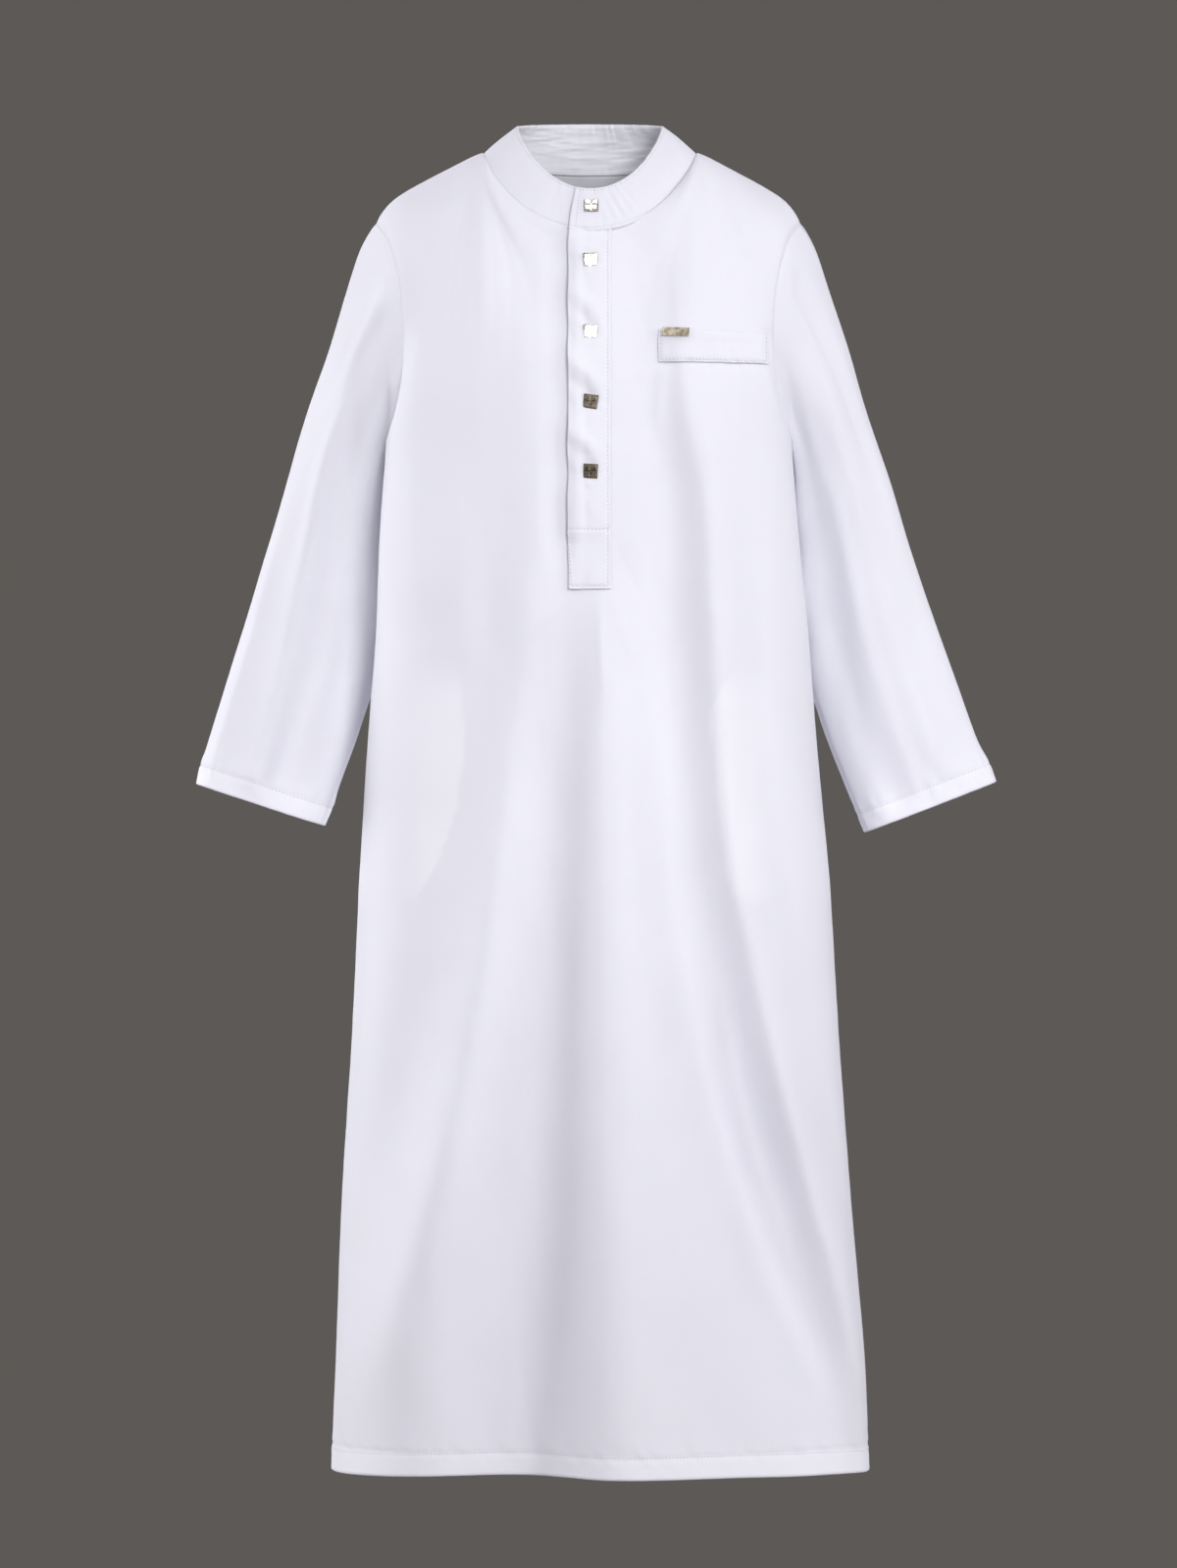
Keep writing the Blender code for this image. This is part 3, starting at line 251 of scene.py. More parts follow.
# The sleeves' folds: how far round each lies at the head and at the cuff, how far down it starts and ends,
# half its width, and how far it stands out
SLEEVE_FOLDS = {
    -1: (
        (0.16, 0.16, 0.10, 0.96, 0.050, -0.0045),
        (0.34, 0.27, 0.28, 0.98, 0.034, 0.0056),
        (0.27, 0.22, 0.30, 0.95, 0.030, -0.0030),
        (0.42, 0.40, 0.02, 0.40, 0.030, -0.0042),
        (0.36, 0.35, 0.03, 0.36, 0.026, 0.0030),
        (0.44, 0.40, 0.45, 0.98, 0.026, 0.0022),
        (0.66, 0.62, 0.15, 0.95, 0.045, 0.0040),
        (0.80, 0.78, 0.10, 0.80, 0.050, -0.0040),
    ),
    1: (
        (0.16, 0.18, 0.10, 0.96, 0.045, -0.0040),
        (0.30, 0.30, 0.22, 0.90, 0.038, 0.0052),
        (0.40, 0.38, 0.04, 0.50, 0.030, -0.0036),
        (0.24, 0.24, 0.40, 0.95, 0.024, 0.0024),
        (0.66, 0.62, 0.15, 0.95, 0.045, 0.0040),
        (0.80, 0.78, 0.10, 0.80, 0.050, -0.0040),
    ),
}
# Fine pulls of the front: the x and height of each end, the width, and how far it stands out
FRONT_PULLS = (
    ((0.018, -0.285), (0.046, -0.318), 0.0026, 0.0010),
    ((0.018, -0.305), (0.040, -0.345), 0.0026, -0.0009),
    ((0.018, -0.180), (0.050, -0.170), 0.0034, 0.0008),
    ((0.018, -0.128), (0.048, -0.112), 0.0034, 0.0007),
    ((0.018, -0.232), (0.052, -0.236), 0.0034, 0.0006),
    ((-0.020, -0.345), (-0.050, -0.372), 0.0040, 0.0012),
    ((0.016, -0.342), (0.034, -0.392), 0.0030, 0.0012),
    ((0.006, -0.338), (0.010, -0.420), 0.0030, 0.0010),
    ((0.054, -0.166), (0.050, -0.215), 0.0040, 0.0012),
    ((0.132, -0.166), (0.140, -0.206), 0.0040, 0.0012),
    ((0.070, -0.168), (0.074, -0.240), 0.0050, 0.0006),
    ((0.110, -0.168), (0.112, -0.250), 0.0050, 0.0006),
)
# Creases of the front band, in the same columns
BAND_CREASES = (
    ((-0.0160, -0.106), (0.0100, -0.134), 0.0055, 0.0017),
    ((-0.0160, -0.120), (0.0060, -0.144), 0.0050, -0.0012),
    ((-0.0170, -0.158), (0.0120, -0.188), 0.0060, 0.0021),
    ((-0.0170, -0.175), (0.0040, -0.196), 0.0050, -0.0014),
    ((-0.0160, -0.212), (0.0080, -0.238), 0.0055, 0.0017),
    ((-0.0140, -0.226), (0.0020, -0.248), 0.0050, -0.0011),
    ((-0.0120, -0.056), (0.0060, -0.070), 0.0050, 0.0006),
    ((-0.0080, -0.262), (0.0080, -0.286), 0.0050, 0.0006),
)
# Slight unevenness of hanging cloth, in layers: how high it stands, the width of a lump, its slant over a
# given fall, and its length
SOFT_WAVES = (
    (0.0014, 0.050, 0.12, 0.05, 0.24),
    (0.0006, 0.022, 0.25, 0.05, 0.090),
    (0.00022, 0.009, 0.3, 0.03, 0.030),
)


# ---- The garment's own curves and surfaces


@functools.cache
def column(table, names, name):
    """One named column of a table, as an array."""
    return np.array([row[names.index(name)] for row in table])


def curve_between(first, last, first_slope, last_slope, t):
    """The curve from one value to another that leaves and arrives with the given slopes."""
    return (
        first * (1 + 2 * t) * (1 - t) ** 2
        + first_slope * t * (1 - t) ** 2
        + last * t * t * (3 - 2 * t)
        - last_slope * t * t * (1 - t)
    )


def smooth(at, places, values):
    """A smooth curve through a table's values."""
    at = np.clip(np.asarray(at, float), places[0], places[-1])
    slopes = np.gradient(values, places)
    index = np.clip(np.searchsorted(places, at, side="right") - 1, 0, len(places) - 2)
    span = places[index + 1] - places[index]
    t = (at - places[index]) / span
    return curve_between(values[index], values[index + 1], slopes[index] * span, slopes[index + 1] * span, t)


def unit(vectors):
    """The vectors, each with a length of one."""
    return vectors / np.maximum(np.linalg.norm(vectors, axis=-1, keepdims=True), 1e-12)


def ease(values):
    """A soft step from nothing at 0 to one at 1."""
    values = np.clip(values, 0, 1)
    return values * values * (3 - 2 * values)


def body_size(name, z):
    """One measure of the body's section at height z."""
    return smooth(z, column(BODY_SECTIONS, BODY_COLUMNS, "height"), column(BODY_SECTIONS, BODY_COLUMNS, name))


def body_ring(face, u, z):
    """A point of the body's section at height z; u runs from the wearer's right seam to the left one."""
    turn = -np.cos(np.pi * u)
    half = np.where(turn < 0, body_size("right", z), body_size("left", z))
    seam_y = body_size("seam_y", z)
    square = body_size("square", z)
    reach = np.where(face < 0, body_size("front", z) + seam_y, body_size("back", z) - seam_y)
    y = seam_y + face * reach * np.maximum(1 - np.abs(turn) ** square, 0) ** (1 / square)
    return np.stack(np.broadcast_arrays(half * turn, y, z), -1)


def neck_base(turn):
    """The neckline at an angle from the middle of the front, positive to the wearer's left."""
    toward_front = np.cos(turn)
    depth = np.abs(toward_front)
    front = toward_front >= 0
    y = np.where(front, -NECK_FRONT[0], NECK_BACK[0]) * depth
    z = -np.where(front, NECK_FRONT[1] * depth**NECK_DIP_POWER, NECK_BACK[1] * depth)
    y = y + SHOULDER_Y[0] * np.sin(turn) ** 2
    return np.stack([NECK_HALF_WIDTH * np.sin(turn), y, z], -1)


def collar_edge(turn):
    """The collar's upper edge at the same angle."""
    toward_front = np.cos(turn)
    depth = np.abs(toward_front)
    front = toward_front >= 0
    top = COLLAR_TOP_Z
    z_front = top["side"] + (top["front"] - top["side"]) * depth**COLLAR_DIP_POWER
    z_back = top["side"] + (top["back"] - top["side"]) * depth
    y = np.where(front, COLLAR_TOP_FRONT_Y, COLLAR_TOP_BACK_Y) * depth
    return np.stack([COLLAR_TOP_HALF_WIDTH * np.sin(turn), y, np.where(front, z_front, z_back)], -1)


PANEL_HALF_WIDTH = 0.155
PANEL_TOP_HALF_WIDTH = 0.154
NECK_U = math.acos(NECK_HALF_WIDTH / PANEL_TOP_HALF_WIDTH) / math.pi
NECK_SPACING = (0.62, 0.38)
SHOULDER_CURVE_POWER, SHOULDER_TIP_POWER = 1.15, 12


def neck_turn(u):
    """The angle round the neckline for a place across a panel, nearly even in x at the middle."""
    share = (u - 0.5) / (0.5 - NECK_U)
    return np.pi / 2 * (NECK_SPACING[0] * share + NECK_SPACING[1] * share**3)


def shoulder_seam(side, share):
    """The shoulder seam from the neck (0) to the tip of the shoulder (1)."""
    x = NECK_HALF_WIDTH + (SHOULDER_HALF_WIDTH[side] - NECK_HALF_WIDTH) * share
    y = SHOULDER_Y[0] + (SHOULDER_Y[1] - SHOULDER_Y[0]) * share
    z = -SHOULDER_DROP * share**SHOULDER_CURVE_POWER - SHOULDER_TIP_DROP * share**SHOULDER_TIP_POWER
    return np.stack([side * x, y, z], -1)


def top_edge(face, u):
    """The upper edge of a panel: shoulder seam, neckline, shoulder seam."""
    right = shoulder_seam(-1, np.clip(1 - u / NECK_U, 0, 1))
    left = shoulder_seam(1, np.clip(1 - (1 - u) / NECK_U, 0, 1))
    turn = neck_turn(np.clip(u, NECK_U, 1 - NECK_U))
    neck = neck_base(turn if face < 0 else np.pi - turn)
    right_part, left_part = (u <= NECK_U)[..., None], (u >= 1 - NECK_U)[..., None]
    return np.where(right_part, right, np.where(left_part, left, neck))


def armhole(face, side, share):
    """The armhole seam on the front (-1) or the back (+1), from the underarm (0) to the shoulder (1)."""
    shares = column(ARMHOLE, ARMHOLE_COLUMNS, "share")
    names = ("x", "front_y", "front_z") if face < 0 else ("back_x", "back_y", "back_z")
    x, y, z = (smooth(share, shares, column(ARMHOLE, ARMHOLE_COLUMNS, name)) for name in names)
    table_tip = ARMHOLE[-1][1]
    underarm = float(body_size("right" if side < 0 else "left", ARMPIT_Z))
    x = x + (SHOULDER_HALF_WIDTH[side] - table_tip) * share + (underarm - ARMHOLE[0][1]) * (1 - share)
    return np.stack([side * x, y, z], -1)


def hem_height(u):
    """The height of the front's lower edge, which rises a little in the middle."""
    return HEM_SIDE_Z + (HEM_FRONT_Z - HEM_SIDE_Z) * np.sin(np.pi * u) ** 2


def skirt(face, u, rise):
    """The part below the armpits: from the hem (0) up to the armpit section (1)."""
    low = hem_height(u) if face < 0 else HEM_SIDE_Z + 0 * u
    return body_ring(face, u, low + (ARMPIT_Z - low) * rise)


TOP_TAPS = ((-1.0, 0.10), (-0.6, 0.20), (-0.25, 0.20), (0.25, 0.20), (0.6, 0.20), (1.0, 0.10))
TOP_SOFTENING = 0.085
TOP_SOFTENING_RISE, TOP_SOFTENING_SIDE = 0.45, 0.16
SLOPE_STEP = 0.02
ARMPIT_PULL = 0.19
NECK_SLOPE = (0.055, 0.13)
SHOULDER_SLOPE = (0.150, 0.05)
SHOULDER_BLEND = (0.06, 0.14)


def soft_top_edge(face, u, rise):
    """The upper edge as the cloth below it follows it: its corners round off further down."""
    window = TOP_SOFTENING * ease((1 - rise) / TOP_SOFTENING_RISE)
    window = window * ease(np.minimum(u, 1 - u) / TOP_SOFTENING_SIDE)
    return sum(weight * top_edge(face, np.clip(u + tap * window, 0, 1)) for tap, weight in TOP_TAPS)


def chest(face, u, rise):
    """The part above the armpits: from the armpit section up to the shoulders and neckline."""
    t = rise[..., None]

    def leaving(place):
        start = body_ring(face, place, ARMPIT_Z + 0 * place)
        below = body_ring(face, place, ARMPIT_Z - SLOPE_STEP + 0 * place)
        return start, (start - below) / SLOPE_STEP * ARMPIT_PULL

    at_neck = np.array([0, -face * NECK_SLOPE[0], NECK_SLOPE[1]])
    at_shoulder = np.array([0, -face * SHOULDER_SLOPE[0], SHOULDER_SLOPE[1]])
    over_shoulder = ease((np.abs(u - 0.5) - SHOULDER_BLEND[0]) / SHOULDER_BLEND[1])[..., None]
    arrive = at_neck + (at_shoulder - at_neck) * over_shoulder
    start, leave = leaving(u)
    points = curve_between(start, soft_top_edge(face, u, rise), leave, arrive, t)
    for side, near in ((-1, u), (1, 1 - u)):
        edge_u = np.full_like(u, 0.0 if side < 0 else 1.0)
        start, leave = leaving(edge_u)
        edge = curve_between(start, top_edge(face, edge_u), leave, at_shoulder, t)
        pull = ease(1 - near / ARMHOLE_REACH)[..., None]
        points = points + pull * (armhole(face, side, rise) - edge)
    return points


def sleeve_base(side, share, place):
    """The sleeve's smooth surface: share goes round from the underarm over the front, place runs down it."""
    share, place = np.broadcast_arrays(np.asarray(share, float) % 1.0, np.asarray(place, float))
    places = np.arange(len(SLEEVE_SECTIONS[side]), dtype=float)
    names = SLEEVE_COLUMNS
    size = {name: smooth(place, places, column(SLEEVE_SECTIONS[side], names, name)) for name in names}
    start = dict(zip(names, SLEEVE_SECTIONS[side][0]))

    def ring(row):
        turn = np.cos(2 * np.pi * share)
        x = (row["inner_x"] + row["outer_x"]) / 2 + (row["inner_x"] - row["outer_x"]) / 2 * turn
        z = (row["inner_z"] + row["outer_z"]) / 2 + (row["inner_z"] - row["outer_z"]) / 2 * turn
        bulge = np.maximum(1 - np.abs(turn) ** row["square"], 0) ** (1 / row["square"])
        y = row["middle_y"] - row["half_depth"] * bulge * np.where(share < 0.5, 1, -1)
        return np.stack(np.broadcast_arrays(side * x, y, z), -1)

    before, behind = armhole(-1, side, 2 * share), armhole(1, side, 2 * np.minimum(1 - share, 0.5))
    seam = np.where((share < 0.5)[..., None], before, behind)
    pull = (1 - ease(place / HEAD_SECTIONS))[..., None]
    return ring(size) + pull * (seam - ring(start))


def across(x):
    """The place across a panel of a given x at the armpits."""
    return math.acos(-x / PANEL_HALF_WIDTH) / math.pi


def neckline_z(x):
    """The height of the front neckline."""
    return neck_base(np.arcsin(x / NECK_HALF_WIDTH))[..., 2]


def welt_top(x):
    """The height of the welt's upper edge."""
    return np.interp(x, WELT_X, WELT_TOP_Z)


def bag_edge(side, z):
    """The inner edge of a pocket bag at each height, and how much of the bag lies there."""
    heights = column(BAG_EDGES, BAG_COLUMNS, "height")[::-1]
    edge_x = smooth(z, heights, column(BAG_EDGES, BAG_COLUMNS, BAG_SIDES[side])[::-1])
    from_foot = ease((z - heights[0]) / BAG_FOOT_FADE)
    return edge_x, from_foot * ease((heights[-1] - BAG_TOP_GAP - z) / BAG_TOP_FADE)


# ---- Grids of points

PANEL_FADE = 0.055
CORNER_FILL = 0.0028
CREST_ROUNDING = 0.009
LONG_FOLD_SKEW = 1.4
LONG_FOLD_SINK = 0.95
SOFT_TAPS = ((-2, 0.06), (-1, 0.24), (0, 0.40), (1, 0.24), (2, 0.06))
SOFT_REACH = 0.030
SOFT_SPREAD, SOFT_SIDE = 2.2, 0.12
FOLD_GROWTH = 0.3
FOLD_FADE_START, FOLD_FADE_LENGTH = 0.55, 0.45
FOLD_WIDTH, FOLD_WIDENING = 0.7, 0.5
FOLD_HOLLOW_AT, FOLD_HOLLOW_WIDTH = 0.95, 0.75
LINE_TAPER = 0.7
SKIRT_HEIGHT = ARMPIT_Z - HEM_SIDE_Z
CHEST_HEIGHT = 0.19
SLIT_U = across(-SLIT_HALF_WIDTH)
SLIT_FOOT_H = 1 + (SLIT_FOOT_Z - ARMPIT_Z) / SKIRT_HEIGHT
CLOUD_CELLS = 64
FIND_STEPS = 14


def panel_base(face, u, h):
    """A panel's smooth surface, softened where the skirt meets the chest.

    h is 0 at the hem, 1 at the armpits and 2 on top.
    """
    rise = np.where(h < 1, (h - 1) * SKIRT_HEIGHT, (h - 1) * CHEST_HEIGHT)
    soften = bump(rise, 0, SOFT_SPREAD * SOFT_REACH) * ease(np.minimum(u, 1 - u) / SOFT_SIDE)
    points = 0
    for tap, weight in SOFT_TAPS:
        moved = rise + tap * SOFT_REACH * soften
        at = np.clip(np.where(moved < 0, 1 + moved / SKIRT_HEIGHT, 1 + moved / CHEST_HEIGHT), 0, 2)
        low = skirt(face, u, np.clip(at, 0, 1))
        high = chest(face, u, np.clip(at - 1, 0, 1))
        points = points + weight * np.where((at < 1)[..., None], low, high)
    return points


def grid_normals(points, outward=1, round_rows=False):
    """Unit normals of a grid of points, rows upward and columns toward the wearer's left."""
    if round_rows:
        around = np.roll(points, -1, 1) - np.roll(points, 1, 1)
    else:
        around = np.gradient(points, axis=1)
    return outward * unit(np.cross(around, np.gradient(points, axis=0)))


def cloud(a, b, seed):
    """Smooth random values between -1 and 1 over a plane; one lump is about one unit wide."""
    cells = CLOUD_CELLS
    table = np.random.default_rng(seed).uniform(-1, 1, (cells, cells))
    whole_a, whole_b = np.floor(a).astype(int), np.floor(b).astype(int)
    part_a, part_b = ease(a - whole_a), ease(b - whole_b)
    a0, a1, b0, b1 = whole_a % cells, (whole_a + 1) % cells, whole_b % cells, (whole_b + 1) % cells
    low = table[a0, b0] * (1 - part_a) + table[a1, b0] * part_a
    high = table[a0, b1] * (1 - part_a) + table[a1, b1] * part_a
    return low * (1 - part_b) + high * part_b


def long_fold_lift(folds, x, z):
    """How far the long folds push the cloth out: each climbs ever steeper to its crest, then falls away."""
    lift = np.zeros(x.shape)
    for rows in folds:
        rows = np.array(rows)[::-1]
        crest, rise, fall, depth = (smooth(z, rows[:, 0], rows[:, place]) for place in (1, 2, 3, 4))
        climb = ease(np.clip(1 + (x - crest) / rise, 0, 1) ** LONG_FOLD_SKEW)
        drop = 1 - ease((x - crest) / fall)
        lift += depth * np.where(x < crest, climb, drop)
        hollow = bump(x, crest - FOLD_HOLLOW_AT * rise, FOLD_HOLLOW_WIDTH * rise)
        lift -= depth * LONG_FOLD_SINK * hollow
    return lift


def fold_lift(table, x, z):
    """How far the shorter folds push the cloth out at each point."""
    lift = np.zeros(x.shape)
    for top_z, foot_z, top_x, middle_x, foot_x, right_width, left_width, depth, foot_share in table:
        share = np.clip((top_z - z) / (top_z - foot_z), 0, 1)
        middle = (
            top_x * (1 - share) * (1 - 2 * share)
            + middle_x * 4 * share * (1 - share)
            + foot_x * share * (2 * share - 1)
        )
        grow = ease(share / FOLD_GROWTH)
        grow = grow * (1 - (1 - foot_share) * ease((share - FOLD_FADE_START) / FOLD_FADE_LENGTH))
        off = x - middle
        widened = FOLD_WIDTH + FOLD_WIDENING * share
        width = np.where(off < 0, right_width, left_width) * widened
        rounding = CREST_ROUNDING * widened
        lift = lift + depth * grow * np.exp(-(np.sqrt(off**2 + rounding**2) - rounding) / width)
    return lift


def bump(value, middle, width):
    """One in the middle, fading to nothing on both sides of it."""
    return np.exp(-(((value - middle) / width) ** 2))


def near_line(x, z, start, end, width):
    """One on a line between two points of the front, fading to nothing a width away and at its ends."""
    start, end = np.array(start), np.array(end)
    length = np.linalg.norm(end - start)
    along_x, along_z = (end - start) / length
    along = (x - start[0]) * along_x + (z - start[1]) * along_z
    off = (x - start[0]) * along_z - (z - start[1]) * along_x
    share = np.clip(along / length, 0, 1)
    return np.sin(np.pi * share) ** LINE_TAPER * bump(off, 0, width)


class Grid:
    """A cloth surface as a grid of points, with outward normals and places across and up it."""

    def __init__(self, across_steps, up_steps, points, normals):
        self.across, self.up, self.points, self.normals = across_steps, up_steps, points, normals

    def at(self, u, h):
        """Points and normals between the grid's own."""
        column_at = np.interp(u, self.across, np.arange(len(self.across)))
        row_at = np.interp(h, self.up, np.arange(len(self.up)))
        col = np.minimum(column_at.astype(int), len(self.across) - 2)
        row = np.minimum(row_at.astype(int), len(self.up) - 2)
        right, rise = (column_at - col)[..., None], (row_at - row)[..., None]
        found = []
        for grid in (self.points, self.normals):
            low = grid[row, col] * (1 - right) + grid[row, col + 1] * right
            high = grid[row + 1, col] * (1 - right) + grid[row + 1, col + 1] * right
            found.append(low * (1 - rise) + high * rise)
        return found[0], unit(found[1])

    def find(self, x, z):
        """The places across and up the grid that have a given x and height."""
        x, z = np.broadcast_arrays(np.asarray(x, float), np.asarray(z, float))
        half = np.where(x < 0, body_size("right", z), body_size("left", z))
        u = np.arccos(np.clip(-x / half, -0.98, 0.98)) / np.pi
        h = np.where(z < ARMPIT_Z, 1 + (z - ARMPIT_Z) / SKIRT_HEIGHT, 1 + (z - ARMPIT_Z) / CHEST_HEIGHT)
        step_u, step_h, damping = 0.004, 0.008, 0.9
        for _ in range(FIND_STEPS):
            here = self.at(u, h)[0]
            slope_u = (self.at(u + step_u, h)[0] - self.at(u - step_u, h)[0]) / (2 * step_u)
            slope_h = (self.at(u, h + step_h)[0] - self.at(u, h - step_h)[0]) / (2 * step_h)
            miss_x, miss_z = x - here[..., 0], z - here[..., 2]
            area = slope_u[..., 0] * slope_h[..., 2] - slope_u[..., 2] * slope_h[..., 0]
            u = u + damping * (miss_x * slope_h[..., 2] - miss_z * slope_h[..., 0]) / area
            h = h + damping * (miss_z * slope_u[..., 0] - miss_x * slope_u[..., 2]) / area
            u, h = np.clip(u, 0.006, 0.994), np.clip(h, 0.01, 1.999)
        return u, h


def on_front(front, x, z):
    """Points and normals of the front at a given x and height."""
    return front.at(*front.find(x, z))


# ---- Meshes

RIM_SPREAD = 0.35
STIFF_RIM_SPREAD = 0.5


def add_to_scene(name, data):
    """A new object that holds a mesh, a light or a camera."""
    obj = bpy.data.objects.new(name, data)
    bpy.context.scene.collection.objects.link(obj)
    return obj


def ring_quads(rings, sides):
    """The faces between rings of points that follow one another, each ring with the same number of sides."""
    quads = []
    for near in range(0, (rings - 1) * sides, sides):
        far = near + sides
        for side in range(sides):
            other = (side + 1) % sides
            quads.append((near + side, far + side, far + other, near + other))
    return quads


def mesh_piece(name, points, faces, smooth_shaded=True):
    """A new object made of points and faces."""
    mesh = bpy.data.meshes.new(name)
    mesh.from_pydata(points, [], faces)
    mesh.polygons.foreach_set("use_smooth", [smooth_shaded] * len(faces))
    mesh.update()
    return add_to_scene(name, mesh)


def closed_mesh(name, outer, inner, cells, spread, uvs):
    """A closed cloth mesh from outer and inner points and the cells between them, with rounded rims.

    spread is how far the rim stands out past the edge, as a share of the cloth's thickness.
    """
    count = len(outer)
    starts = cells.reshape(-1)
    ends = np.roll(cells, -1, axis=1).reshape(-1)
    forward, backward = starts * count + ends, ends * count + starts
    open_edges = ~np.isin(forward, backward)
    rim_start, rim_end = starts[open_edges], ends[open_edges]
    away = np.zeros((count, 3))
    outward = unit(outer - inner)
    along = unit(outer[rim_end] - outer[rim_start])
    side = np.cross(along, unit(outward[rim_start] + outward[rim_end]))
    np.add.at(away, rim_start, side)
    np.add.at(away, rim_end, side)
    thickness = np.linalg.norm(outer - inner, axis=1, keepdims=True)
    middle = (outer + inner) / 2 + unit(away) * thickness * spread
    on_rim = np.unique(np.concatenate([rim_start, rim_end]))
    rim_place = np.full(count, -1)
    rim_place[on_rim] = 2 * count + np.arange(len(on_rim))
    points = np.vstack([outer, inner, middle[on_rim]])
    used = np.zeros(len(points), bool)
    faces = np.vstack(
        [
            cells,
            cells[:, ::-1] + count,
            np.stack([rim_end, rim_start, rim_place[rim_start], rim_place[rim_end]], 1),
            np.stack([rim_place[rim_end], rim_place[rim_start], rim_start + count, rim_end + count], 1),
        ]
    )
    used[faces.reshape(-1)] = True
    new_place = np.cumsum(used) - 1
    obj = mesh_piece(name, points[used].tolist(), new_place[faces].tolist())
    flat_uv = np.vstack([uvs, uvs, uvs[on_rim]])
    layer = obj.data.uv_layers.new(name="cloth")
    layer.data.foreach_set("uv", flat_uv[faces.reshape(-1)].reshape(-1))
    return obj, used, np.concatenate([np.arange(count), np.arange(count), on_rim])


def shell(name, points, normals, thickness, spread=RIM_SPREAD, round_rows=False, missing=None):
    """A closed cloth piece from a grid of its outer points."""
    rows, columns = points.shape[:2]
    place = np.arange(rows * columns).reshape(rows, columns)
    if round_rows:
        right = np.roll(place, -1, axis=1)
        cells = np.stack([place[:-1], right[:-1], right[1:], place[1:]], -1)
    else:
        cells = np.stack([place[:-1, :-1], place[:-1, 1:], place[1:, 1:], place[1:, :-1]], -1)
    if missing is not None:
        cells = cells[~missing]
    cells = cells.reshape(-1, 4)
    outer = points.reshape(-1, 3)
    corners = outer[cells]
    facing = np.cross(corners[:, 1] - corners[:, 0], corners[:, 3] - corners[:, 0])
    if np.sum(facing * normals.reshape(-1, 3)[cells[:, 0]]) < 0:
        cells = cells[:, ::-1]
    inner = outer - (normals * np.broadcast_to(thickness, points.shape[:2])[..., None]).reshape(-1, 3)
    across = np.cumsum(np.linalg.norm(np.diff(points, axis=1, prepend=points[:, :1]), axis=-1), axis=1)
    up = np.cumsum(np.linalg.norm(np.diff(points, axis=0, prepend=points[:1]), axis=-1), axis=0)
    middle = slice(columns // 2, columns // 2 + 1)
    uvs = np.stack([across - across[:, middle], np.repeat(up[:, middle], columns, 1)], -1)
    return closed_mesh(name, outer, inner, cells, spread, uvs.reshape(-1, 2))


def write_mask(made, name, values):
    """Stores a value for each point of a cloth piece, for its material to read."""
    obj, used, source = made
    layer = obj.data.attributes.new(name, "FLOAT", "POINT")
    layer.data.foreach_set("value", values.reshape(-1)[source][used].astype(np.float32))


def stiff_piece(name, points, normals, thickness):
    """A closed piece of firm cloth that has no second layer showing through."""
    made = shell(name, points, normals, thickness, spread=STIFF_RIM_SPREAD)
    write_mask(made, "doubled", np.zeros(points.shape[:2]))
    return made[0]


# a stitch from end to end: places along its length, its width there and how high it lies, in radii
STITCH_PROFILE = (
    (-0.5, 0.30, -0.5),
    (-0.32, 0.95, 0.0),
    (0.0, 1.1, 0.25),
    (0.32, 0.95, 0.0),
    (0.5, 0.30, -0.5),
)
STITCH_SIDES = 6


def beads(name, centres, directions, normals, length, radius):
    """Many short stitches as one mesh: each is a length of thread, round and pulled down at its ends."""
    normals = unit(normals)
    directions = unit(directions - normals * np.sum(directions * normals, -1, keepdims=True))
    sideways = np.cross(normals, directions)
    sides = STITCH_SIDES
    turns = np.arange(sides) * 2 * np.pi / sides
    rings = []
    for share, width, rise in STITCH_PROFILE:
        ring_middle = centres + directions * (length * share) + normals * radius * rise
        for turn in turns:
            around = sideways * math.cos(turn) + normals * math.sin(turn)
            rings.append(ring_middle + radius * width * around)
    points = np.stack(rings, 1).reshape(-1, 3)
    last_ring = (len(STITCH_PROFILE) - 1) * sides
    quads = np.array(ring_quads(len(STITCH_PROFILE), sides))
    caps = np.array([range(sides), range(last_ring + sides - 1, last_ring - 1, -1)])
    shift = (np.arange(len(centres)) * (last_ring + sides))[:, None, None]
    faces = (quads[None] + shift).reshape(-1, 4).tolist() + (caps[None] + shift).reshape(-1, sides).tolist()
    return mesh_piece(name, points.tolist(), faces)


def at_distances(values, distance, places):
    """The values found at each place along a line, from those at its points' distances."""
    return np.stack([np.interp(places, distance, values[:, i]) for i in range(3)], -1)


def along_path(points, normals, pitch):
    """Evenly spaced places along a line of points: centres, directions and normals."""
    steps = np.linalg.norm(np.diff(points, axis=0), axis=1)
    distance = np.concatenate([[0], np.cumsum(steps)])
    places = np.arange(pitch / 2, distance[-1], pitch)
    centre, normal = at_distances(points, distance, places), at_distances(normals, distance, places)
    ahead = at_distances(points, distance, places + pitch / 2)
    behind = at_distances(points, distance, places - pitch / 2)
    return centre, ahead - behind, unit(normal)


def stitch_rows(name, rows, pitch=0.0030, share=0.62, radius=0.00034):
    """Rows of stitches as one mesh; each row is a line of points and its normals."""
    found = [along_path(points, normals, pitch) for points, normals in rows]
    centres, directions, normals = (np.concatenate(values) for values in zip(*found))
    return beads(name, centres, directions, normals, pitch * share, radius)


# ---- The front and the back

